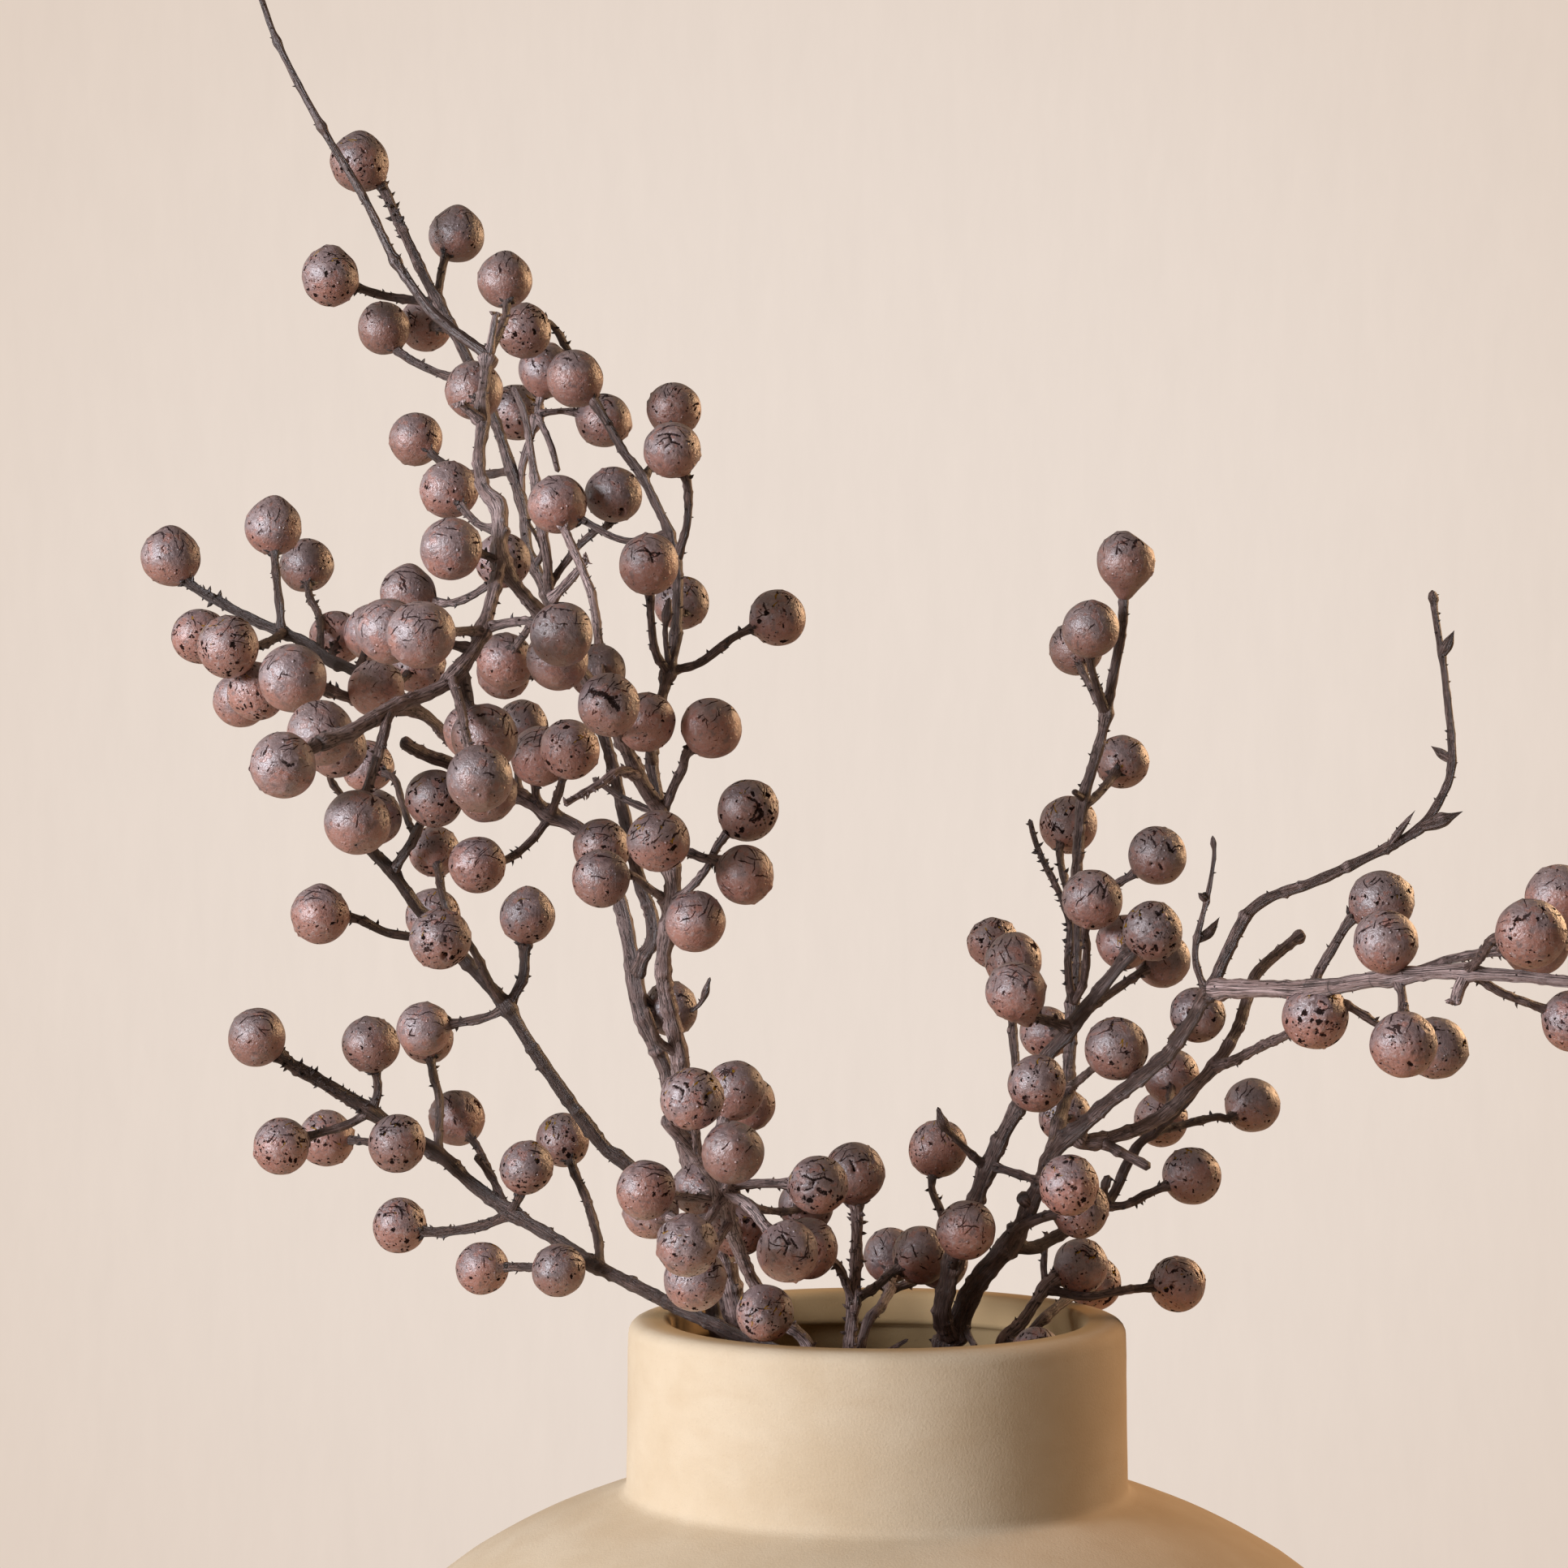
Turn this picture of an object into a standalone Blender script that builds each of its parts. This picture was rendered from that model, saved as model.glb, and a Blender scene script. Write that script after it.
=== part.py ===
"""Vase of dried eucalyptus pods: a wide stoneware vase holding eight cut branches.

Each branch is one grown piece: a stem, its side twigs and the round woody pods on their tips.
All eight stand on the floor of the vase and spread from its neck.

Sizes below are in millimetres and the model is built in metres, +Z up. The origin is the centre
of the flat base, +X is to the right and -Y is the front.
"""

import math

import bmesh
import bpy
from mathutils import Vector

MM = 0.001

# Vase, turned: sizes are radii unless they are heights.
VASE_HEIGHT = 225.0
BODY_RADIUS = 131.0          # widest place of the body
BODY_OVAL = 142.9            # half width of the oval that rounds it
BODY_BELOW_RIM = 101.4       # how far the widest place lies below the rim
BODY_UPPER_HALF = 71.1       # half height of the oval above the widest place
BODY_LOWER_HALF = 148.0      # half height of the oval below it
BODY_WALL = 7.0
FLOOR_THICKNESS = 9.0
NECK_RADIUS = 61.2
NECK_WALL = 6.4
NECK_FILLET = 3.0
LIP_INNER_RADIUS = 50.6      # the lip is thicker than the neck below it
LIP_HEIGHT = 8.0
LIP_ROUNDING = 3.0              # outside; the inner edge is sharper
LIP_INNER_ROUNDING = 2.0
RIM_RISE = 1.7                  # the rim's top above the plane that the tables are measured from
VASE_STEPS = 30

# The branches are written as they are seen from the front, by an eye this far before the vase's
# axis, this far to its side and this far above its rim.
EYE_DISTANCE = 960.0
EYE_ACROSS = -22.8
EYE_ABOVE_RIM = 133.2

FOOT_GAP = 0.3               # between a stem's cut foot and the vase's floor
FOOT_STRAIGHT = 30.0         # the upright stretch above the foot
THICK_LIMB = 3.9             # limbs from this thickness up have six sides, thinner ones four
BEND_KEPT = 0.8              # a limb's point is left out where its bend is smaller than this
POD_SEGMENTS = 8
POD_RINGS = 4
POD_FACET_ALLOWANCE = 1.04   # a faceted ball is drawn this much larger, so that its outline fits

# A branch is its name, its foot on the vase's floor and its limbs.
# A limb is (name, limb it grows from, (thickness at root, at tip), pod, points).
# A point is (across, above the rim, nearer the eye than the axis), each as it measures at the
# distance of the vase's axis, and so are the thicknesses and the pod's diameter. A limb's first
# point is moved onto the limb it grows from. Where the third number is left out, it changes
# evenly along the limb. A pod of 0 is none; otherwise the last point is the pod's centre.

FRONT_LEFT_LIMBS = [
    ("main", "", (5.4, 3.9), 0, [
        (-32, -10, -8), (-33.5, -1, -7), (-35.9, 9.5, -5), (-37.4, 16.2, -3), (-41, 26, 0),
        (-46.6, 42, 4), (-48.5, 54, 9), (-48.4, 64.5, 12), (-50.2, 74, 15), (-52.2, 83, 18),
        (-52.6, 90, 21), (-51.6, 98, 25), (-50.3, 107, 28), (-51, 114, 30), (-53, 126, 32)]),
    ("tall", "main", (3.9, 2.9), 0, [
        (-53, 126), (-57.4, 132.6, 38), (-60, 138.2, 42), (-62.8, 144.4, 47), (-67, 152, 54),
        (-74, 163, 62), (-82.3, 174.6, 68), (-90.5, 184.4, 72), (-92.6, 189, 72),
        (-92.8, 194.5, 71), (-93.1, 201.3, 68), (-96.7, 206, 66), (-97.9, 213, 62),
        (-96.9, 222.3, 56), (-97.2, 226.4, 54), (-96.4, 233, 50), (-95.6, 238.7, 46)]),
    ("bare twig", "tall", (2.8, 1.4), 0, [
        (-95.6, 238.7), (-104.6, 245.2, 43), (-109.8, 249.8, 42), (-115, 256.7, 40),
        (-119.6, 264, 38), (-125.4, 276, 36), (-130, 284, 34), (-135.2, 292.5, 32),
        (-142.7, 306, 30), (-148.5, 318, 28), (-151.5, 326.5, 26), (-155.5, 337, 24)]),
    ("", "tall", (2.2, 2.0), 13.5, [(-95.6, 238.7), (-91.3, 249, 36), (-91.6, 257.1, 30)]),
    ("", "tall", (1.7, 1.2), 0, [(-95.6, 238.7), (-93.8, 249.5, 46)]),
    ("", "tall", (1.7, 1.2), 0, [(-96.9, 222.3), (-102.8, 227.4, 60)]),
    ("", "tall", (2.2, 2.0), 14.5, [(-96.9, 222.3), (-99, 230, 36)]),
    ("", "tall", (2.2, 2.0), 14.4, [(-93, 195.5), (-98.5, 197.5, 67), (-105.4, 205.8, 58)]),
    ("", "tall", (2.4, 2.2), 15.2, [(-92.7, 187), (-97.5, 190, 76), (-104.8, 191.3, 82)]),
    ("", "tall", (2.2, 2.0), 13.5, [(-90.5, 184.4), (-92, 188.3, 52)]),
    ("", "tall", (2.2, 2.0), 13.5, [(-92.7, 184.5), (-104, 178, 66), (-115.6, 180, 62)]),
    ("", "tall", (2.4, 2.2), 15.2, [(-76, 166), (-78.7, 163.8, 78)]),
    ("", "tall", (2.2, 2.0), 14.2, [(-83, 175.5), (-91.4, 163.6, 46)]),
    ("", "tall", (2.2, 2.0), 13.0, [(-74, 163), (-84, 160, 42), (-92, 160.5, 24)]),
    ("", "tall", (2.4, 2.2), 15.7, [(-62.8, 144.4), (-66, 152.7, 82)]),
    ("", "tall", (2.2, 2.0), 14.0, [(-66, 150), (-68.7, 161, 34)]),
    ("spiny", "tall", (3.0, 1.6), 0, [
        (-58.5, 135.5), (-63.6, 136.3, 48), (-68, 133.3, 53), (-73, 130.5, 57), (-77, 128, 60)]),
    ("droop", "tall", (3.4, 4.2), 0, [
        (-92.6, 189), (-93.1, 185.4, 75), (-94.6, 179.2, 79), (-96.7, 172.1, 84),
        (-99.2, 166.4, 88), (-105.4, 158.6, 94), (-110.5, 155.6, 98), (-117.2, 153.1, 103),
        (-123.8, 149.5, 109), (-130, 145.9, 115), (-138, 143, 122)]),
    ("", "droop", (2.6, 2.2), 15.6, [
        (-96.9, 171.5), (-91, 172.8, 87), (-85.9, 173.3, 90), (-77.4, 170, 96)]),
    ("", "droop", (2.6, 2.4), 16.8, [(-97.2, 170.8), (-103.3, 170.8, 98), (-112.2, 170, 120)]),
    ("", "droop", (2.4, 2.2), 16.3, [(-99.2, 166.4), (-107, 168, 90), (-120.4, 171, 96)]),
    ("", "droop", (2.6, 2.4), 16.4, [
        (-105, 159.5), (-102.3, 151.5, 106), (-100.6, 142.5, 116), (-98.05, 134.6, 124)]),
    ("", "droop", (2.4, 2.2), 16.4, [(-103, 161.5), (-101, 153, 92), (-96.4, 144.5, 98)]),
    ("", "droop", (2.2, 2.0), 13.5, [(-102, 163), (-100, 153, 76), (-100, 146, 62)]),
    ("", "droop", (2.6, 2.4), 16.1, [
        (-120, 151.5), (-121.5, 145.5, 112), (-125.4, 132.1, 116), (-127.9, 123.8, 120)]),
    ("", "droop", (2.8, 2.6), 16.4, [(-137, 143.4), (-146.3, 137.9, 130)]),
    ("", "droop", (2.6, 2.4), 16.2, [(-130, 145.9), (-137.1, 145.6, 98)]),
    ("second", "main", (3.4, 2.2), 13.9, [
        (-53, 126), (-55, 135, 29), (-55.4, 140.8, 27), (-53.5, 152, 24), (-51.3, 160.5, 22),
        (-49.7, 168, 20), (-49, 177, 17), (-49.2, 187, 14), (-51.3, 195.6, 12),
        (-54.4, 202.3, 10), (-58, 209.4, 7), (-62, 214.6, 5), (-66, 221.5, 2),
        (-69.3, 226.9, 1), (-74.2, 233.1, 0)]),
    ("", "second", (2.2, 2.0), 14.7, [(-55.2, 138.5), (-56.8, 148.6, 50)]),
    ("", "second", (2.0, 1.8), 13.5, [(-57.5, 208.5), (-52, 217, -1), (-50, 225.6, -10)]),
    ("", "second", (2.2, 2.0), 14.5, [
        (-49.2, 188), (-46.7, 197.2, 17), (-46.4, 203.3, 18), (-46.9, 208.5, 20),
        (-50.4, 215.5, 23)]),
    ("", "second", (2.2, 2.0), 14.9, [
        (-51.3, 160.5), (-54.6, 166.5, 29), (-55.9, 179.7, 37), (-56.3, 187.4, 41)]),
    ("", "second", (1.6, 1.2), 0, [(-51.1, 161.5), (-52.1, 171, 25), (-51, 179.2, 27)]),
    ("", "second", (2.2, 2.0), 13.4, [(-49.7, 170), (-48, 177.7, -4)]),
    ("", "second", (2.2, 2.0), 14.0, [
        (-51.2, 161), (-44.1, 162.8, 20), (-39, 166.4, 18), (-34.9, 169.5, 16),
        (-24.5, 174.3, 12)]),
    ("", "second", (2.0, 1.8), 13.7, [
        (-68.8, 226), (-72, 233, -14), (-76.2, 240.3, -17), (-80.8, 246.8, -13),
        (-86.9, 244.9, -8)]),
    ("", "second", (1.8, 1.6), 14.5, [
        (-51.2, 195), (-61.5, 193.1, 10), (-72.3, 198.2, 6), (-78.7, 202.1, 4)]),
    ("", "tall", (1.8, 1.6), 0, [
        (-67.5, 153), (-68.5, 168.5, 30), (-70, 179.2, 22), (-72.6, 186.2, 17),
        (-77.2, 196.5, 9)]),
    ("", "main", (2.6, 2.4), 15.2, [
        (-52.8, 125.5), (-49.7, 133.1, 37), (-47.7, 137.2, 40), (-46.7, 140.8, 43),
        (-40.8, 147, 47)]),
    ("", "main", (2.6, 2.4), 15.3, [(-51, 113.5), (-53.7, 119.2, 53)]),
    ("", "main", (2.2, 2.0), 15.0, [
        (-50.6, 104.5), (-46.7, 106.9, 32), (-42.1, 112.1, 34), (-38.8, 118.6, 35),
        (-31.6, 126.8, 36)]),
    ("", "main", (2.4, 2.2), 14.9, [
        (-51.3, 116), (-47.2, 116.7, 36), (-43.1, 115.1, 38), (-39.5, 114.3, 39),
        (-32.3, 110.8, 41)]),
    ("", "main", (2.4, 2.2), 15.1, [(-51.6, 98), (-44.7, 99.3, 46)]),
    ("", "main", (2.2, 2.0), 14.5, [
        (-50.5, 104), (-55.9, 107.4, 28), (-60, 110.5, 31), (-67.9, 110.1, 35)]),
    ("", "main", (2.0, 1.6), 0, [(-52.9, 125.5), (-62.1, 129.5, 28), (-70, 134.7, 27)]),
    ("", "main", (2.4, 1.8), 0, [(-49, 66.5), (-53.8, 70, 18), (-55.4, 74.1, 23), (-56.9, 78.2, 26)]),
]

BACK_LEFT_LIMBS = [
    ("main", "", (4.6, 3.2), 0, [
        (-35, -10, -24), (-38, 8, -22), (-42, 24, -18), (-45.5, 38, -14), (-49, 50, -10),
        (-52.3, 63.4, -7), (-55.4, 70.6, -6), (-58.3, 77.5, -6), (-60, 88.5, -7),
        (-62.4, 101.3, -9), (-66, 112, -13), (-69, 118, -15), (-74, 122.6, -16),
        (-80.3, 125.6, -15), (-88.2, 130.5, -12), (-96, 134.3, -10), (-105.5, 138.4, -6),
        (-111.3, 140.5, -3), (-117, 143.8, 3)]),
    ("", "main", (2.4, 2.2), 13.6, [(-58, 76.5), (-50.8, 77.8, -13)]),
    ("", "main", (2.0, 0.8), 0, [(-59, 82), (-50.8, 76.5, -10), (-43.9, 78.6, -8), (-41, 85.6, -6)]),
    ("tall back", "main", (3.6, 2.4), 14.4, [
        (-59.6, 85.5), (-57.5, 90.5, -5), (-55.2, 95, -4), (-55.5, 101, -5), (-57.9, 107.5, -6),
        (-62.5, 127, -10), (-66.7, 143.8, -14), (-72, 158, -17), (-80.8, 179.2, -20),
        (-85.9, 191, -22), (-86.9, 200.3, -23), (-90.5, 212.1, -25), (-94.1, 222.8, -27),
        (-98.5, 233, -29), (-106.3, 248.7, -31), (-110.4, 256.2, -32), (-117.3, 270.6, -31),
        (-121.9, 280.4, -30), (-127.4, 286.4, -30)]),
    ("", "tall back", (2.2, 2.0), 13.6, [(-108.3, 252.5), (-106.3, 263, -40), (-103.5, 268.6, -44)]),
    ("", "tall back", (2.2, 2.0), 14.2, [
        (-108, 251.8), (-113, 252.3, -31), (-122.5, 253.8, -28), (-134.6, 258.2, -22)]),
    ("", "tall back", (2.2, 2.0), 12.8, [
        (-98.5, 233), (-105, 233.6, -33), (-109.5, 235.1, -36), (-117.7, 239.7, -40),
        (-121.5, 245.5, -42)]),
    ("", "tall back", (2.2, 2.0), 13.3, [(-104.5, 245), (-111, 246.4, -54)]),
    ("", "tall back", (2.2, 2.0), 13.1, [
        (-90, 210.5), (-97, 209.5, -33), (-105, 211, -42), (-113.7, 218.2, -52)]),
    ("", "tall back", (2.0, 1.8), 14.2, [
        (-81.5, 181), (-74.6, 190.5, -15), (-70, 195, -12), (-66, 197.3, -9), (-64.8, 204.4, -5)]),
    ("", "tall back", (1.8, 1.0), 0, [(-80.5, 178.5), (-76.2, 182.8, -14), (-71.3, 188.5, -9)]),
    ("", "tall back", (1.8, 1.0), 0, [(-84, 187), (-82.3, 191, -18), (-86.2, 198.2, -10)]),
    ("node", "tall back", (2.2, 2.0), 0, [
        (-87.5, 203), (-87.4, 211, -25), (-85.2, 219, -24), (-83.5, 224.5, -23)]),
    ("", "node", (1.8, 1.8), 13.6, [(-83.5, 224.5), (-76, 225, -25), (-67.2, 222.9, -27)]),
    ("", "node", (1.8, 1.8), 13.5, [(-83.5, 224.5), (-83, 228, -24), (-81.3, 235, -25)]),
    ("", "node", (1.8, 1.8), 14.0, [(-84, 222.5), (-89, 224.7, -44)]),
    ("", "node", (1.8, 1.6), 0, [(-83.5, 224), (-80.4, 217, -19), (-78.4, 210, -16)]),
    ("curl", "tall back", (2.2, 1.2), 0, [
        (-80.8, 179.2), (-81.3, 190, -13), (-82.8, 197.2, -11), (-84.6, 211, -10),
        (-86.9, 224.9, -13), (-89.7, 231.3, -15)]),
    ("", "main", (2.2, 2.0), 14.0, [(-66, 112), (-67.9, 117.5, 5)]),
    ("", "main", (2.2, 2.0), 14.1, [
        (-80.3, 125.6), (-84.6, 119.7, -12), (-90.8, 114.8, -7), (-98.2, 113.3, 0)]),
    ("", "main", (2.2, 2.0), 14.7, [(-80.3, 125.6), (-78, 132, -5), (-75.6, 141.9, 14)]),
    ("", "main", (2.2, 2.0), 14.8, [(-81.5, 126.3), (-84, 131, -11), (-82.8, 140, -4)]),
    ("", "main", (2.0, 1.8), 13.2, [(-88.2, 130.5), (-88.5, 139, -20), (-87.4, 147.6, -26)]),
    ("", "main", (2.2, 2.0), 15.0, [(-92.5, 132.5), (-96, 131, 20)]),
    ("left", "main", (3.2, 3.0), 17.0, [
        (-96, 134.3), (-104.1, 142.8, 10), (-109.2, 148.5, 25), (-113, 151, 32),
        (-120.8, 151.6, 43), (-135.8, 156.5, 63), (-144.1, 159.4, 74)]),
    ("far left", "left", (3.0, 2.2), 14.5, [
        (-113, 151), (-121, 157, 30), (-130, 161.7, 24), (-135.2, 163.8, 20),
        (-139.8, 167.5, 16), (-146.1, 170.4, 12), (-153.1, 173.3, 9), (-160, 177, 6),
        (-169.2, 182.5, 2), (-174.1, 189.1, 0)]),
    ("", "far left", (2.2, 2.0), 14.0, [
        (-146.7, 170.7), (-147, 176.2, 12), (-148.2, 187.7, 6), (-148.6, 196.5, 2)]),
    ("", "far left", (2.0, 1.8), 13.5, [
        (-137, 165.5), (-137.2, 174, 2), (-139.8, 180, -10), (-140.4, 187.1, -18)]),
    ("", "far left", (2.0, 1.8), 13.3, [(-134.5, 163.5), (-133, 169.2, -2)]),
    ("", "far left", (2.0, 1.8), 14.0, [(-128, 160.8), (-124.2, 170.4, 6)]),
    ("", "far left", (2.0, 1.8), 14.2, [(-119.5, 156), (-113.3, 163, 12)]),
    ("", "far left", (2.0, 1.8), 14.2, [(-119, 155.5), (-123.4, 157, 56)]),
    ("", "far left", (2.4, 2.2), 15.3, [(-146.1, 170.4), (-151.9, 167.4, 28), (-159.7, 167, 44)]),
    ("", "far left", (2.0, 1.8), 13.8, [(-155, 174.3), (-166.6, 169.6, -2)]),
    ("low pair", "left", (2.4, 2.2), 14.4, [
        (-135.8, 156.5), (-145, 154.5, 46), (-152.8, 156.2, 36)]),
    ("", "low pair", (2.0, 1.8), 13.8, [(-145, 154.5), (-156.5, 154.2, 10)]),
]

MID_LEFT_LIMBS = [
    ("main", "", (4.0, 3.0), 14.0, [
        (-38.5, -10, -16), (-40, 2, -15), (-43, 12, -14), (-49, 22, -17), (-55, 31, -20),
        (-61.5, 39.4, -21), (-66.6, 43.2, -22), (-73.1, 51.5, -22), (-80.3, 61.6, -23),
        (-85.6, 69.5, -24), (-91.3, 78.7, -26), (-96, 84, -26), (-101, 89.5, -26),
        (-106, 95, -25), (-112.3, 101.8, -22), (-119.5, 111.8, -18), (-124.6, 117.6, -12),
        (-124, 125, -5)]),
    ("", "main", (2.6, 2.8), 13.6, [
        (-91, 78), (-89, 81.5, -26), (-87, 86, -27), (-86.7, 93, -28), (-86.3, 100.5, -28)]),
    ("", "main", (2.2, 2.2), 13.3, [
        (-91, 78.2), (-96.4, 75.6, -27), (-104.1, 74.1, -29), (-111.4, 72.8, -30)]),
    ("", "main", (2.4, 2.2), 15.0, [(-104, 92.8), (-107.4, 95.1, 13)]),
    ("", "main", (2.2, 2.0), 13.8, [(-110.5, 100), (-109.2, 100.5, -48)]),
    ("", "main", (2.2, 2.2), 12.6, [
        (-91.5, 79), (-94.4, 82.6, -22), (-99.5, 92.5, -13), (-104, 98.5, -9),
        (-106.5, 104, -8), (-108.8, 116.7, -26)]),
    ("", "main", (2.4, 2.2), 14.2, [
        (-106, 95), (-114.9, 95.6, -18), (-121, 96.7, -15), (-128, 99.9, -11),
        (-137.2, 101, -8)]),
    ("side", "main", (2.6, 2.4), 14.4, [
        (-119.3, 111.5), (-114.4, 119.2, -14), (-112.8, 122.5, -11), (-109, 129.6, -2)]),
    ("", "side", (1.8, 1.8), 13.0, [
        (-113.6, 120.8), (-115.2, 123.5, -16), (-117.2, 129.5, -24), (-119, 134.6, -32),
        (-125.4, 137.5, -40)]),
    ("", "main", (2.0, 1.8), 14.6, [
        (-124.6, 117.6), (-129, 126, 0), (-132.3, 131, 5), (-134.6, 134.8, 9), (-133, 141.9, 14)]),
]

LOW_LEFT_LIMBS = [
    ("main", "", (3.8, 3.2), 14.4, [
        (-16.5, -30, 11), (-18, -16, 11), (-22, -8.8, 9), (-29.2, -4.6, 5), (-34.4, -2.8, 3),
        (-39.5, -0.3, 2), (-44, 1.8, 0), (-48.5, 3.9, -3), (-53.5, 6.5, -8),
        (-61.8, 10.7, -18), (-70, 14.8, -28), (-74.1, 17.7, -37), (-81.3, 22.3, -44),
        (-89.5, 27.2, -50), (-99.7, 34.6, -56), (-106.7, 41, -60), (-118, 48, -63),
        (-125.6, 53.1, -61), (-137.7, 60.4, -55), (-144, 64, -51), (-152.8, 70.8, -46)]),
    ("", "main", (2.2, 2.2), 14.2, [(-124.6, 52.5), (-122.9, 57.7, -61), (-124.7, 69, -58)]),
    ("", "main", (2.2, 2.2), 12.8, [
        (-108, 42), (-107.7, 55.4, -70), (-109.2, 61.5, -76), (-110.6, 70.5, -84)]),
    ("", "main", (2.4, 2.2), 14.0, [
        (-125, 52.6), (-129.6, 49.6, -60), (-138.8, 46.7, -56), (-146.8, 44, -52)]),
    ("", "main", (2.2, 2.0), 13.8, [
        (-110, 43), (-118, 43.8, -72), (-127, 45.2, -80), (-135.4, 45.8, -86)]),
    ("", "main", (2.2, 2.2), 14.3, [(-112, 44.5), (-118.1, 44.5, -42)]),
    ("fork", "main", (2.0, 2.0), 13.8, [
        (-91.2, 28.3), (-95.6, 38.1, -60), (-98.4, 43.8, -70), (-103.4, 50.8, -80)]),
    ("", "fork", (1.8, 1.6), 0, [(-94.5, 36), (-98.9, 41.7, -56)]),
    ("", "main", (2.2, 2.2), 13.2, [(-90, 27.6), (-87.9, 32.1, -46), (-86.3, 38.8, -44)]),
    ("", "main", (2.4, 2.2), 13.2, [
        (-68.4, 14), (-68.5, 20.3, -36), (-71.5, 31, -48), (-74.4, 37.5, -56),
        (-77.2, 45.4, -64)]),
    ("", "main", (2.6, 2.4), 13.4, [
        (-90, 27.5), (-95.5, 25, -54), (-100.8, 23.6, -57), (-110, 22.8, -62),
        (-117.4, 24.4, -66)]),
    ("", "main", (2.0, 2.2), 13.0, [
        (-71.5, 15.8), (-78.5, 14, -42), (-85.4, 14.1, -46), (-91, 14.1, -50),
        (-97.2, 14, -54)]),
    ("", "main", (2.2, 2.0), 13.3, [(-71, 15.3), (-78.5, 13.3, -18)]),
]

FRONT_CLUSTER_LIMBS = [
    ("main", "", (3.4, 3.8), 0, [
        (-15.8, -30, 22), (-15.9, -14, 22), (-16.8, -5.5, 22), (-19.5, -2, 23),
        (-24.5, 1.5, 25), (-29.7, 9.5, 29), (-31.8, 13.6, 33), (-34, 19, 38),
        (-36.5, 26.5, 45), (-37.9, 33.1, 50), (-43.1, 40.8, 56), (-47.7, 45.9, 62),
        (-52, 51.3, 67)]),
    ("", "main", (2.4, 2.2), 15.8, [(-44, 41.8), (-45.4, 55.7, 78)]),
    ("", "main", (2.4, 2.2), 15.4, [(-37.9, 33.1), (-36, 36.5, 64), (-35.2, 42.3, 82)]),
    ("upper", "main", (2.2, 2.0), 15.1, [(-41.5, 38.5), (-39, 47, 56), (-34.9, 57.4, 52)]),
    ("", "upper", (2.0, 1.8), 13.2, [(-38, 50), (-31.4, 54.5, 20)]),
    ("", "main", (2.4, 2.2), 14.9, [(-37.3, 30.5), (-48, 31.5, 54), (-56.9, 33, 62)]),
    ("", "main", (2.2, 2.0), 13.6, [(-36.8, 28), (-47, 25.5, 44), (-55.6, 28, 36)]),
    ("", "main", (2.2, 2.0), 13.8, [(-37.5, 31.5), (-43.5, 33.3, 26)]),
    ("", "main", (2.4, 2.2), 15.9, [(-37.6, 32), (-42, 25, 66), (-46.6, 19.5, 88)]),
    ("", "main", (2.4, 2.2), 15.7, [(-36.2, 25.5), (-41, 17.5, 56), (-44.7, 11, 66)]),
    ("", "main", (2.2, 2.0), 14.5, [(-35, 22.5), (-34.4, 23.8, 22)]),
    ("", "main", (2.6, 2.4), 14.7, [
        (-37.9, 33.1), (-34.4, 34.1, 51), (-28.2, 34.7, 52), (-22.1, 34.6, 52),
        (-14.4, 34.4, 53)]),
    ("low right", "main", (3.0, 2.6), 15.2, [
        (-37.9, 33.1), (-31.3, 29, 56), (-27.2, 23.8, 61), (-21.8, 18.2, 67)]),
    ("", "low right", (2.0, 1.8), 13.8, [
        (-31.3, 29), (-26, 28, 47), (-21, 28, 31), (-17.3, 29.5, 18)]),
    ("", "main", (2.2, 2.0), 14.2, [(-27, 5.5), (-27.4, 2.7, 42)]),
]

CENTRE_LIMBS = [
    ("main", "", (3.3, 3.2), 15.2, [
        (-6.7, -20, 15), (-6.7, -6.4, 15), (-5.6, 6.9, 17), (-4.9, 18.7, 21), (-4.9, 29, 25),
        (-5.7, 37.3, 27)]),
    ("", "main", (2.4, 2.2), 15.4, [
        (-5.8, 5), (-7.4, 10, 20), (-10.3, 15.4, 28), (-17.3, 18.8, 37)]),
    ("", "main", (2.4, 2.2), 14.5, [(-5.6, 6), (-0.5, 9, 13), (3.6, 12.6, 9), (11, 17, 4)]),
    ("low", "main", (3.0, 2.6), 13.8, [
        (-6.7, -16), (-4.1, -6.4, 11), (-2, 0.8, 8), (1, 4.4, 4), (3.4, 9.5, -6),
        (3.5, 17, -18)]),
    ("", "low", (2.2, 2.0), 13.6, [(3, 8.5), (9, 10.5, -8), (15.7, 15.5, -26)]),
    ("", "main", (1.8, 1.0), 0, [(-6.4, -10), (-1.5, -8.2, 19), (3.1, -6.2, 22), (7.8, -3.6, 24)]),
]

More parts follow.
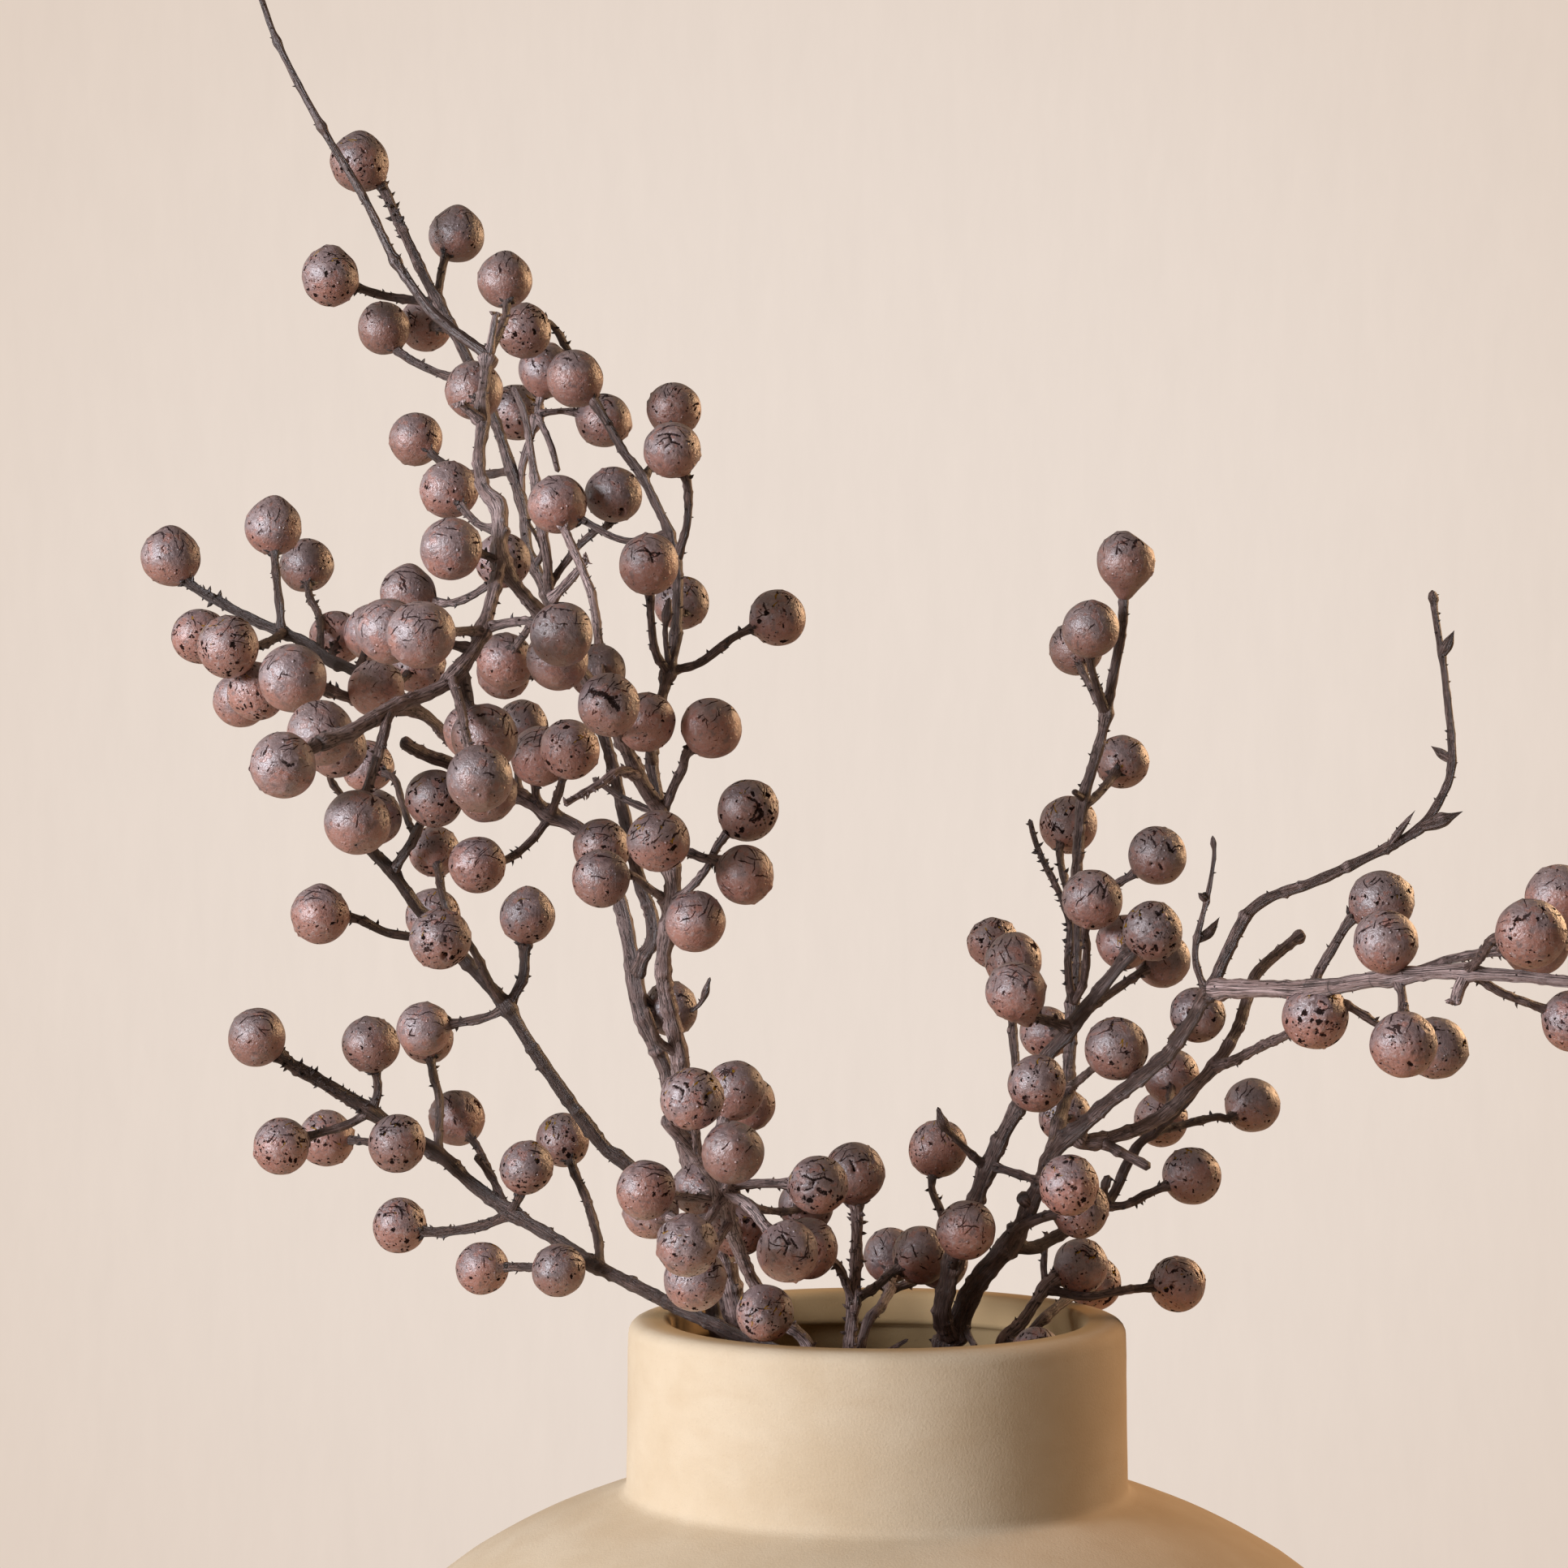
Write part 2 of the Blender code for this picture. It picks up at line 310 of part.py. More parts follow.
RIGHT_LIMBS = [
    ("main", "", (5.8, 4.4), 0, [
        (16, -22, 10), (16.8, -6, 10), (19.2, -2, 10), (21, 3, 11), (23.2, 7.8, 12),
        (26, 12.2, 14), (29.8, 16.6, 17), (33.5, 21, 20), (36, 25, 23), (38, 30, 26),
        (40.8, 35.5, 29), (43.1, 41.3, 32), (46.2, 45.4, 35), (51.3, 49.5, 39),
        (56.4, 54.2, 43), (61.5, 58.2, 47), (66.2, 61.8, 50), (71.8, 66.5, 54),
        (75, 70.8, 57), (78.5, 76, 60), (80.8, 80.5, 62), (83.2, 82.6, 64)]),
    ("", "main", (3.8, 3.2), 0, [(38, 29.5), (35.4, 31.8, 28)]),
    ("", "main", (2.2, 1.8), 0, [(20.5, 1.5), (24.4, -5.8, 14)]),
    ("front", "main", (4.8, 3.0), 14.6, [
        (18.2, -3.5), (16.2, 2.5, 17), (17.4, 9.5, 19), (19, 15.6, 20), (24.6, 31, 22),
        (27.7, 39.2, 23), (30.8, 45.9, 24), (34.4, 52.6, 24), (42.1, 66.2, 25),
        (46.7, 71.2, 26), (52.8, 79.5, 28), (56.9, 84.6, 30), (61, 89.7, 32), (68.1, 97, 38)]),
    ("", "front", (2.4, 2.2), 15.0, [(18.4, 13.5), (22.2, 23.3, 38)]),
    ("", "front", (2.2, 2.0), 14.3, [
        (19.6, 17.5), (15.9, 27.9, 14), (13.6, 34, 10), (15.1, 43.3, 5)]),
    ("", "front", (2.4, 1.2), 0, [
        (27.3, 38.3), (22, 43.3, 26), (19, 46.4, 28), (16.4, 49.5, 30), (15.1, 53.6, 31)]),
    ("", "front", (2.2, 2.2), 14.8, [
        (27.7, 39.2), (30.3, 38.5, 25), (35.9, 36.7, 30), (40, 35.5, 37), (47.4, 34.3, 52)]),
    ("", "front", (2.2, 2.0), 14.3, [(37, 57.2), (39.5, 59.4, 43)]),
    ("thin pair", "front", (2.6, 2.2), 14.2, [
        (35.6, 54.8), (34.7, 61, 17), (33.6, 73, 9), (33.8, 89.7, -4)]),
    ("", "thin pair", (2.0, 1.8), 13.2, [(33.6, 76), (31, 86, -14), (28.7, 94, -30)]),
    ("", "front", (2.8, 2.4), 15.3, [(48, 72.8), (43.1, 74.6, 29), (36.8, 76.8, 33), (34.6, 82, 36)]),
    ("", "front", (2.4, 2.2), 13.8, [(50.3, 76), (56.9, 81, 20), (65.1, 86.7, 10), (70.4, 89.8, 4)]),
    ("", "front", (2.2, 2.0), 13.7, [(61.5, 90.2), (61, 94.3, 16)]),
    ("upright", "main", (3.8, 2.6), 14.6, [
        (42.6, 40), (43.6, 44.5, 24), (45, 50, 18), (47, 58, 10), (47.5, 66, 5), (48.3, 80, 0),
        (49, 88.7, -1), (49.2, 104, -1), (49.3, 111.3, 0), (50.8, 128.7, 1), (53.2, 137, 2),
        (55.4, 144.6, 2), (56.7, 150.8, 3), (58.2, 159, 4), (60.6, 172, 6), (60.9, 178, 7),
        (61.4, 188.1, 8)]),
    ("", "upright", (2.2, 2.0), 13.3, [(44.8, 49), (46.5, 51.2, -8)]),
    ("", "upright", (2.2, 2.0), 15.7, [(47, 58), (51.3, 61.3, 24), (59, 68, 45)]),
    ("", "upright", (2.0, 1.8), 13.1, [(47.8, 71.5), (41.7, 72, -18)]),
    ("", "upright", (2.2, 2.2), 14.9, [
        (48.3, 79), (50.8, 83.6, 5), (51.8, 92.8, 12), (51.3, 97, 17), (53.3, 104.6, 25)]),
    ("", "upright", (2.2, 2.0), 14.5, [
        (49.2, 103), (59.5, 108.7, 7), (63.6, 111.3, 9), (69.2, 115.6, 12)]),
    ("", "upright", (2.0, 1.8), 14.4, [
        (49.1, 98), (46.7, 108, -9), (45.1, 116.9, -17), (47.2, 123.1, -24)]),
    ("thorn twig", "upright", (2.2, 1.4), 0, [
        (48.2, 78), (47.2, 88.7, 5), (47.6, 98, 7), (45.6, 105.1, 8), (41, 114.4, 8),
        (39, 119.5, 8), (37.7, 124.6, 8)]),
    ("", "upright", (2.2, 2.2), 13.2, [
        (50.8, 128.3), (53.3, 129.4, -1), (58.5, 135.4, -11), (60.5, 138.7, -18)]),
    ("", "upright", (2.0, 1.8), 0, [(51, 129.5), (48.6, 131.4, 6)]),
    ("", "upright", (2.2, 2.0), 14.2, [
        (56.6, 150.5), (53.6, 159.5, 9), (52.6, 164.6, 12), (52.9, 171.5, 15)]),
    ("", "upright", (2.0, 1.8), 13.5, [(56.4, 150), (50.8, 161, -6), (49.1, 166.5, -14)]),
    ("back reach", "main", (3.8, 2.6), 0, [
        (48.5, 47.2), (51.3, 44.8, 35), (60.5, 46.9, 32), (66.2, 49, 31), (71.8, 52.4, 31),
        (75.9, 56.2, 32), (83.4, 63.8, 33), (89, 73, 27), (90.8, 78.5, 23), (92.8, 85, 18),
        (95.3, 88.3, 15), (100.1, 92.5, 10), (105.2, 96.5, 6)]),
    ("", "back reach", (2.8, 2.4), 16.4, [
        (83.2, 63.6), (88.3, 65.2, 42), (94.2, 68.3, 55), (100.6, 71.2, 68), (108.2, 76, 84)]),
    ("", "back reach", (2.8, 2.6), 0, [(54.5, 45.5), (61.5, 41.8, 34), (67.5, 38.6, 36)]),
    ("", "back reach", (2.2, 2.0), 13.6, [(72, 52.6), (72.8, 61, 12)]),
    ("", "main", (2.2, 2.0), 13.8, [(74.5, 70), (73, 70.8, 44), (79, 76.2, 30)]),
    ("low reach", "main", (3.4, 2.0), 0, [
        (33, 20.4), (37.9, 18.9, 17), (43.6, 21.3, 12), (52, 26.5, 5), (57.9, 31.5, -2),
        (61.5, 39.2, -6), (64.6, 44.4, -8), (68.7, 47.9, -10), (76.9, 55.6, -12),
        (80.4, 61, -13)]),
    ("", "low reach", (2.0, 1.8), 13.6, [(68.2, 47.5), (70, 50.5, -32)]),
    ("", "low reach", (2.0, 2.2), 13.6, [
        (68.3, 47.6), (72.8, 48.5, -14), (84.1, 51.2, -22), (86.5, 50.8, -24), (92.7, 54.1, -30)]),
    ("", "low reach", (2.2, 2.2), 14.1, [
        (55, 29), (61.5, 29.5, 0), (66.7, 32.1, -4), (77.7, 36.7, -10)]),
    ("", "low reach", (1.8, 2.4), 0, [(56, 30), (56.2, 33.5, 4), (57.3, 36.8, 5)]),
    ("", "main", (3.0, 2.4), 14.0, [(31.5, 18.7), (35.9, 24.3, 27), (42.6, 26.9, 28), (50.4, 28.5, 25)]),
    ("reach", "main", (5.2, 2.8), 16.5, [
        (83.2, 82.6), (88.8, 82.8, 70), (97.7, 82.7, 78), (105.4, 82.5, 85), (113, 83.3, 91),
        (121.3, 84.8, 96), (127.2, 85.5, 100), (133.1, 86.3, 104), (141.9, 86.9, 110),
        (150.8, 86.3, 116), (159.6, 85.7, 121), (170.4, 84.5, 126), (180, 84.5, 130),
        (189, 88, 134)]),
    ("", "reach", (2.4, 2.4), 16.1, [
        (107.5, 82.7), (108.9, 86.6, 84), (111.9, 91.9, 84), (117.8, 100.7, 84),
        (124.4, 104.1, 84)]),
    ("", "reach", (2.4, 2.2), 15.7, [(126.5, 85.4), (125.4, 93.9, 102)]),
    ("", "reach", (2.2, 2.2), 15.3, [
        (108, 82.8), (116.6, 78.3, 86), (123.1, 74.2, 85), (130, 70, 83), (138, 68.1, 82)]),
    ("", "reach", (2.4, 2.2), 16.6, [(128.2, 85.6), (129.6, 80.7, 104), (129.9, 69.2, 110)]),
    ("", "reach", (2.6, 2.4), 17.4, [
        (145.3, 86.8), (149, 90.7, 120), (152.3, 95.2, 129), (161.1, 96.3, 142)]),
    ("", "reach", (2.6, 3.0), 0, [(145.3, 86.8), (143.1, 81.3, 114), (142.5, 78.6, 115)]),
    ("behind", "reach", (2.4, 2.2), 16.5, [
        (131.5, 86.2), (139, 89.2, 105), (144.9, 90.7, 107), (153.2, 92, 109), (162.3, 94.2, 112)]),
    ("", "behind", (2.2, 2.0), 17.0, [(153.2, 92), (160, 100.5, 118), (168.4, 104.9, 124)]),
    ("", "reach", (2.4, 2.2), 15.0, [
        (146.5, 86.8), (153.7, 81.9, 112), (163.8, 78, 109), (171.4, 74.7, 108)]),
    ("thin upright", "main", (2.0, 0.9), 0, [
        (81.2, 81.5), (79, 87.7, 62), (78.5, 91.3, 62), (79, 95.4, 62), (81.8, 106.7, 62),
        (83.2, 116, 62), (82.8, 120.5, 62)]),
    ("", "thin upright", (1.4, 2.4), 0, [(81.2, 104.5), (79.2, 106.4, 64)]),
    ("", "thin upright", (1.8, 1.0), 0, [(79.2, 94.5), (82, 96.6, 61), (84.6, 100.5, 60)]),
    ("curved", "main", (3.6, 1.9), 0, [
        (82, 82), (84.6, 87.7, 63), (89.2, 97.5, 63), (92.5, 102.3, 63), (97.6, 105.6, 64),
        (107.1, 108.8, 67), (120.1, 114.7, 70), (130.7, 120.1, 72), (134.9, 123.3, 73),
        (140.2, 131.8, 73), (141.7, 137.1, 73), (141.7, 144.8, 72), (140.7, 154.2, 71),
        (139.6, 163.7, 70), (138.1, 172.5, 69), (136.9, 181, 68)]),
    ("", "curved", (1.6, 3.8), 0, [(126, 117.9), (132.8, 126.8, 76)]),
    ("", "curved", (2.6, 0.8), 0, [(134, 122.3), (139.5, 124.3, 76), (144.6, 126.5, 78)]),
    ("", "curved", (2.2, 1.2), 0, [(141.7, 139), (136.6, 142.6, 70)]),
    ("", "curved", (2.2, 1.2), 0, [(139.7, 165), (142.4, 171.1, 72)]),
]

RIGHT_LOW_LIMBS = [
    ("main", "", (3.6, 3.0), 13.7, [
        (29.5, -24, 2), (30.8, -4.9, 2), (35.9, 0.8, 0), (39, 5.4, -2), (42.4, 10, -4),
        (50.3, 14.6, -6)]),
    ("", "main", (2.2, 2.2), 13.8, [
        (41.5, 8.8), (44.1, 8.3, -3), (51.3, 6.9, -3), (60.5, 8.4, -6), (66.2, 9, -9),
        (74.1, 10, -12)]),
    ("", "main", (2.8, 2.4), 13.5, [
        (30.4, -10), (36, -4.5, -3), (40.5, 0.8, -7), (47.2, 6.4, -18), (53.5, 10.3, -36)]),
    ("", "main", (2.2, 2.0), 13.0, [(32, -3.5), (39.5, -7.2, 15)]),
    ("", "main", (2.0, 1.4), 0, [(41.9, 9.4), (41.2, 14, -6), (41.5, 18.2, -8), (42, 23, -9)]),
]

BRANCHES = [
    ("front_left_branch", (-30, 8), FRONT_LEFT_LIMBS),
    ("back_left_branch", (-32, 27), BACK_LEFT_LIMBS),
    ("mid_left_branch", (-40, 17), MID_LEFT_LIMBS),
    ("low_left_branch", (-15, -8), LOW_LEFT_LIMBS),
    ("front_cluster_branch", (-15, -25), FRONT_CLUSTER_LIMBS),
    ("centre_branch", (-3, -14), CENTRE_LIMBS),
    ("right_branch", (14, -9), RIGHT_LIMBS),
    ("right_low_branch", (28, -2), RIGHT_LOW_LIMBS),
]


# How the table is read

def nearest_on(line, across, up):
    """The point of a seen line that lies nearest to a place of the view."""
    best = None
    for (x0, z0, t0), (x1, z1, t1) in zip(line, line[1:]):
        dx, dz = x1 - x0, z1 - z0
        share = ((across - x0) * dx + (up - z0) * dz) / (dx * dx + dz * dz)
        share = min(1.0, max(0.0, share))
        point = (x0 + share * dx, z0 + share * dz, t0 + share * (t1 - t0))
        gap = math.hypot(point[0] - across, point[1] - up)
        if best is None or gap < best[0]:
            best = (gap, point)
    return best[1]


def fill_in(points):
    """Give each point that has no third number one that changes evenly along the limb."""
    along = [0.0]
    for a, b in zip(points, points[1:]):
        along.append(along[-1] + math.hypot(b[0] - a[0], b[1] - a[1]))
    known = [i for i, point in enumerate(points) if len(point) == 3]
    filled = list(points)
    for first, last in zip(known, known[1:]):
        for i in range(first + 1, last):
            share = (along[i] - along[first]) / (along[last] - along[first])
            toward = points[first][2] + share * (points[last][2] - points[first][2])
            filled[i] = (points[i][0], points[i][1], toward)
    return filled


def seen_lines(limbs):
    """Each limb with its line made whole, in the order of the table."""
    lines = {}
    whole = []
    for name, parent, thickness, pod, points in limbs:
        line = list(points)
        if parent:
            line[0] = nearest_on(lines[parent], line[0][0], line[0][1])
        line = fill_in(line)
        if name:
            lines[name] = line
        whole.append((line, thickness, pod))
    return whole


def nearness(toward):
    """Real size over seen size, at this distance nearer the eye than the vase's axis."""
    return (EYE_DISTANCE - toward) / EYE_DISTANCE


def real_place(point):
    """The real place, in millimetres, of a point of the table."""
    across, up, toward = point
    scale = nearness(toward)
    return Vector((
        EYE_ACROSS + (across - EYE_ACROSS) * scale,
        -toward,
        VASE_HEIGHT + EYE_ABOVE_RIM + (up - EYE_ABOVE_RIM) * scale,
    ))


def without_small_bends(places):
    """The numbers of the places that a limb needs, ends included."""
    kept = [0, len(places) - 1]
    spans = [(0, len(places) - 1)]
    while spans:
        first, last = spans.pop()
        start, span = places[first], places[last] - places[first]
        worst, widest = 0.0, None
        for i in range(first + 1, last):
            share = (places[i] - start).dot(span) / span.length_squared
            bend = (places[i] - start - span * share).length
            if bend > worst:
                worst, widest = bend, i
        if worst > BEND_KEPT:
            kept.append(widest)
            spans += [(first, widest), (widest, last)]
    return sorted(kept)


# Building

def clear_scene():
    for old in list(bpy.data.objects):
        bpy.data.objects.remove(old, do_unlink=True)


def new_collection(name):
    collection = bpy.data.collections.new(name)
    bpy.context.scene.collection.children.link(collection)
    return collection


def make_material(name, colour, roughness):
    material = bpy.data.materials.new(name)
    material.use_nodes = True
    shader = material.node_tree.nodes["Principled BSDF"]
    shader.inputs["Base Color"].default_value = (*colour, 1.0)
    shader.inputs["Roughness"].default_value = roughness
    shader.inputs["Metallic"].default_value = 0.0
    return material


def limb_mesh(points, diameters):
    """A closed tapering tube through real places, in millimetres."""
    curve = bpy.data.curves.new("limb", "CURVE")
    curve.dimensions = "3D"
    curve.bevel_depth = MM / 2
    curve.bevel_resolution = 1 if max(diameters) >= THICK_LIMB else 0
    curve.use_fill_caps = True
    spline = curve.splines.new("POLY")
    spline.points.add(len(points) - 1)
    for target, place, diameter in zip(spline.points, points, diameters):
        target.co = (*(place * MM), 1.0)
        target.radius = diameter
    holder = bpy.data.objects.new("limb", curve)
    bpy.context.scene.collection.objects.link(holder)
    bpy.context.view_layer.update()
    depsgraph = bpy.context.evaluated_depsgraph_get()
    mesh = bpy.data.meshes.new_from_object(holder.evaluated_get(depsgraph))
    bpy.data.objects.remove(holder, do_unlink=True)
    shape = bmesh.new()
    shape.from_mesh(mesh)
    bmesh.ops.remove_doubles(shape, verts=shape.verts, dist=0.01 * MM)
    bmesh.ops.recalc_face_normals(shape, faces=shape.faces)
    shape.to_mesh(mesh)
    shape.free()
    return mesh


def pod_mesh(centre, along, diameter):
    """A ball whose lower pole faces the twig that carries it."""
    mesh = bpy.data.meshes.new("pod")
    shape = bmesh.new()
    bmesh.ops.create_uvsphere(
        shape, u_segments=POD_SEGMENTS, v_segments=POD_RINGS,
        radius=diameter / 2 * POD_FACET_ALLOWANCE * MM)
    turn = along.to_track_quat("Z", "Y")
    bmesh.ops.rotate(shape, verts=shape.verts, cent=(0, 0, 0), matrix=turn.to_matrix())
    bmesh.ops.translate(shape, verts=shape.verts, vec=centre * MM)
    shape.to_mesh(mesh)
    shape.free()
    return mesh


def branch_meshes(foot, limbs):
    """The separate closed pieces of one branch, trunk first."""
    meshes = []
    for line, (root, tip), pod in seen_lines(limbs):
        places = [real_place(point) for point in line]
        along = [0.0]
        for a, b in zip(places, places[1:]):
            along.append(along[-1] + (b - a).length)
        diameters = []
        for point, distance in zip(line, along):
            seen = root + (tip - root) * distance / along[-1]
            diameters.append(seen * nearness(point[2]))
        if not meshes:
            floor = FLOOR_THICKNESS + FOOT_GAP
            places[:0] = [Vector((*foot, floor)), Vector((*foot, floor + FOOT_STRAIGHT))]
            diameters[:0] = [diameters[0]] * 2
        needed = without_small_bends(places)
        meshes.append(limb_mesh([places[i] for i in needed], [diameters[i] for i in needed]))
        if pod:
            heading = (places[-1] - places[-2]).normalized()
            meshes.append(pod_mesh(places[-1], heading, pod * nearness(line[-1][2])))
    return meshes


def fuse(name, meshes, home):
    """One body from the pieces that grow into each other."""
    base = bpy.data.objects.new(name, meshes[0])
    home.objects.link(base)
    others = new_collection(name + " pieces")
    for mesh in meshes[1:]:
        others.objects.link(bpy.data.objects.new("piece", mesh))
    union = base.modifiers.new("union", "BOOLEAN")
    union.operation = "UNION"
    union.operand_type = "COLLECTION"
    union.collection = others
    union.solver = "MANIFOLD"
    bpy.context.view_layer.update()
    depsgraph = bpy.context.evaluated_depsgraph_get()
    fused = bpy.data.meshes.new_from_object(base.evaluated_get(depsgraph))
    base.modifiers.clear()
    base.data = fused
    for piece in list(others.objects):
        bpy.data.objects.remove(piece, do_unlink=True)
    bpy.data.collections.remove(others)
    return base


def tidy_mesh(mesh):
    """Make every face a triangle."""
    shape = bmesh.new()
    shape.from_mesh(mesh)
    bmesh.ops.triangulate(shape, faces=shape.faces)
    shape.to_mesh(mesh)
    shape.free()


def make_branch(name, foot, limbs, home):
    branch = fuse(name, branch_meshes(foot, limbs), home)
    tidy_mesh(branch.data)
    branch.data.materials.clear()
    branch.data.materials.append(make_material(name, (0.21, 0.14, 0.12), 0.75))
    return branch


def oval(half_width, half_height, start, end, steps):
    """Points of an oval round the body's widest place, from one angle to another in degrees."""
    middle = BODY_RADIUS - BODY_OVAL
    centre = VASE_HEIGHT - BODY_BELOW_RIM
    points = []
    for i in range(steps + 1):
        angle = math.radians(start + (end - start) * i / steps)
        radius = middle + half_width * math.cos(angle)
        points.append((radius, centre + half_height * math.sin(angle)))
    return points


def angle_at_height(half_height, height):
    """The angle, in degrees, at which such an oval reaches a height."""
    return math.degrees(math.asin((height - VASE_HEIGHT + BODY_BELOW_RIM) / half_height))


def angle_at_radius(half_width, radius):
    """The angle, in degrees, at which such an oval reaches a radius."""
    return math.degrees(math.acos((radius - BODY_RADIUS + BODY_OVAL) / half_width))


def vase_profile():
    """The turned wall: from the floor's middle up the inside, over the rim and down the outside."""
    top = VASE_HEIGHT + RIM_RISE
    inner = BODY_OVAL - BODY_WALL
    inner_upper = BODY_UPPER_HALF - BODY_WALL
    inner_lower = BODY_LOWER_HALF - BODY_WALL
    neck_inner = NECK_RADIUS - NECK_WALL
    rounding = LIP_ROUNDING
    corner = rounding * (1 - math.sqrt(0.5))
    inner_corner = LIP_INNER_ROUNDING * (1 - math.sqrt(0.5))
    floor_angle = angle_at_height(inner_lower, FLOOR_THICKNESS)
    neck_angle = angle_at_radius(inner, neck_inner)
    shoulder_angle = angle_at_radius(BODY_OVAL, NECK_RADIUS + NECK_FILLET)
    base_angle = angle_at_height(BODY_LOWER_HALF, 0.0)
    points = [(0.0, FLOOR_THICKNESS)]
    points += oval(inner, inner_lower, floor_angle, 0.0, 2)
    points += oval(inner, inner_upper, 0.0, neck_angle, 3)[1:]
    points += [
        (neck_inner, top - LIP_HEIGHT - 1.0),
        (LIP_INNER_RADIUS, top - LIP_HEIGHT),
        (LIP_INNER_RADIUS, top - LIP_INNER_ROUNDING),
        (LIP_INNER_RADIUS + inner_corner, top - inner_corner),
        (LIP_INNER_RADIUS + LIP_INNER_ROUNDING, top),
        (NECK_RADIUS - rounding, top),
        (NECK_RADIUS - corner, top - corner),
        (NECK_RADIUS, top - rounding),
    ]
    shoulder = oval(BODY_OVAL, BODY_UPPER_HALF, shoulder_angle, 0.0, 5)
    points.append((NECK_RADIUS, shoulder[0][1] + NECK_FILLET + 1.0))
    points.append((NECK_RADIUS + NECK_FILLET / 4, shoulder[0][1] + NECK_FILLET / 3))
    points += shoulder
    points += oval(BODY_OVAL, BODY_LOWER_HALF, 0.0, base_angle, 4)[1:]
    points.append((0.0, 0.0))
    return points


def make_vase(home):
    mesh = bpy.data.meshes.new("vase")
    shape = bmesh.new()
    rim = [shape.verts.new((radius * MM, 0.0, height * MM)) for radius, height in vase_profile()]
    for a, b in zip(rim, rim[1:]):
        shape.edges.new((a, b))
    shape.to_mesh(mesh)
    shape.free()
    vase = bpy.data.objects.new("vase", mesh)
    home.objects.link(vase)
    screw = vase.modifiers.new("turn", "SCREW")
    screw.axis = "Z"
    screw.angle = math.tau
    screw.steps = VASE_STEPS
    screw.render_steps = VASE_STEPS
    screw.use_merge_vertices = True
    screw.merge_threshold = 0.01 * MM
    screw.use_smooth_shade = True
    mesh.materials.append(make_material("stoneware", (0.66, 0.55, 0.40), 0.7))
    return vase


def main():
    clear_scene()
    home = new_collection("vase of dried eucalyptus pods")
    make_vase(home)
    for name, foot, limbs in BRANCHES:
        make_branch(name, foot, limbs, home)


main()
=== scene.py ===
"""The looks of the vase of dried eucalyptus pods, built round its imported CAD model.

The tables of limbs are the CAD model's own, in millimetres. Every branch gets two pieces: its
wood, with bark, thorns and buds, and its pods. The vase gets one turned piece.
"""

import math

import bpy
import numpy as np
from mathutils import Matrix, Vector


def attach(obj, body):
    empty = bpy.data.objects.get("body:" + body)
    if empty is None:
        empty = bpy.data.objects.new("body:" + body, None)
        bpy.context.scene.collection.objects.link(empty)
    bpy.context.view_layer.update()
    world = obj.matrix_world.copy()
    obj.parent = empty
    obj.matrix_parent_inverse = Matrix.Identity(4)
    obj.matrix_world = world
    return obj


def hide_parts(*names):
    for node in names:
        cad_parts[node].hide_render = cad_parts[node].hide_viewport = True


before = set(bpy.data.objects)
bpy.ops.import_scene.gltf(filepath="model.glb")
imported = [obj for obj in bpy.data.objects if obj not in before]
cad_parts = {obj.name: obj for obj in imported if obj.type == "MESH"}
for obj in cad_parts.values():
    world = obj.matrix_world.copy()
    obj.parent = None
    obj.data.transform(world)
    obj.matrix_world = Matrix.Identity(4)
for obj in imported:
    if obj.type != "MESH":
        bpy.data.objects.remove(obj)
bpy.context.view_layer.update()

MM = 0.001

# Vase, as in the CAD model: radii unless they are heights.
VASE_HEIGHT = 225.0
BODY_RADIUS = 131.0
BODY_OVAL = 142.9
BODY_BELOW_RIM = 101.4
BODY_UPPER_HALF = 71.1
BODY_LOWER_HALF = 148.0
BODY_WALL = 7.0
FLOOR_THICKNESS = 9.0
NECK_RADIUS = 61.2
NECK_WALL = 6.4
NECK_FILLET = 3.0
LIP_INNER_RADIUS = 50.6
LIP_HEIGHT = 8.0
LIP_ROUNDING = 3.6
LIP_INNER_ROUNDING = 2.0
RIM_RISE = 1.7               # the rim's top above the plane that the tables are measured from
VASE_STEPS = 108

# The eye that the tables are written for, which is also the camera.
EYE_DISTANCE = 960.0
EYE_ACROSS = -22.8
EYE_ABOVE_RIM = 133.2
LENS = 89.44
SENSOR = 36.0                # mm wide

# Each light: name, place and aim in metres, size, power, tone.
LIGHTS = (
    ("key", (-1.31, -0.95, 0.66), (-0.02, 0.0, 0.32), 0.6, 33.0, (245, 246, 255)),
    ("kicker", (-1.5, 0.6, 0.75), (0.0, 0.0, 0.4), 0.5, 2.0, (236, 242, 255)),
    ("bounce", (1.1, 0.85, 0.75), (0.0, 0.0, 0.2), 0.9, 15.0, (255, 204, 156)),
)
FLOOR_REACH = 0.75           # m
FLOOR_CORNERS = 64

# Limbs, in millimetres.
FOOT_GAP = 0.3
FOOT_STRAIGHT = 30.0
PATH_SPACING = 0.62          # between the rings of a limb
UNSEEN_DEPTH = 12.0          # deeper under the rim than this nobody looks closely,
UNSEEN_COARSER = 4           # so the rings lie this many times further apart
STEM_SLIMMER = 0.95          # against the CAD model's stems
FEWEST_MOST_SIDES = (8, 19)
KNOB_SPACING = 3.5
THORN_DEPTH = 14.0           # how far under the rim the thorns begin
THORNS_NEAR_POD = 12.0       # the length below a pod with more and larger thorns
STUB_TONE = 0.7              # the least tone of a stout broken twig
PARENTS_TONE = 0.4           # the share of its parent's tone that a limb takes

# Pods. Random waves are (count, lowest frequency, highest frequency, size in radii).
POD_LUMPS = ((5, 1.5, 3.2, 0.018), (9, 6.0, 12.0, 0.005))
WRINKLES = (8, 5.0, 8.0, 1.0)
POD_POINTS = (0.0, 0.03, 0.05, 0.085)
WART_COUNTS = (10, 26)
MARK_DEPTHS = {"hole": 0.14, "crack": 0.03}

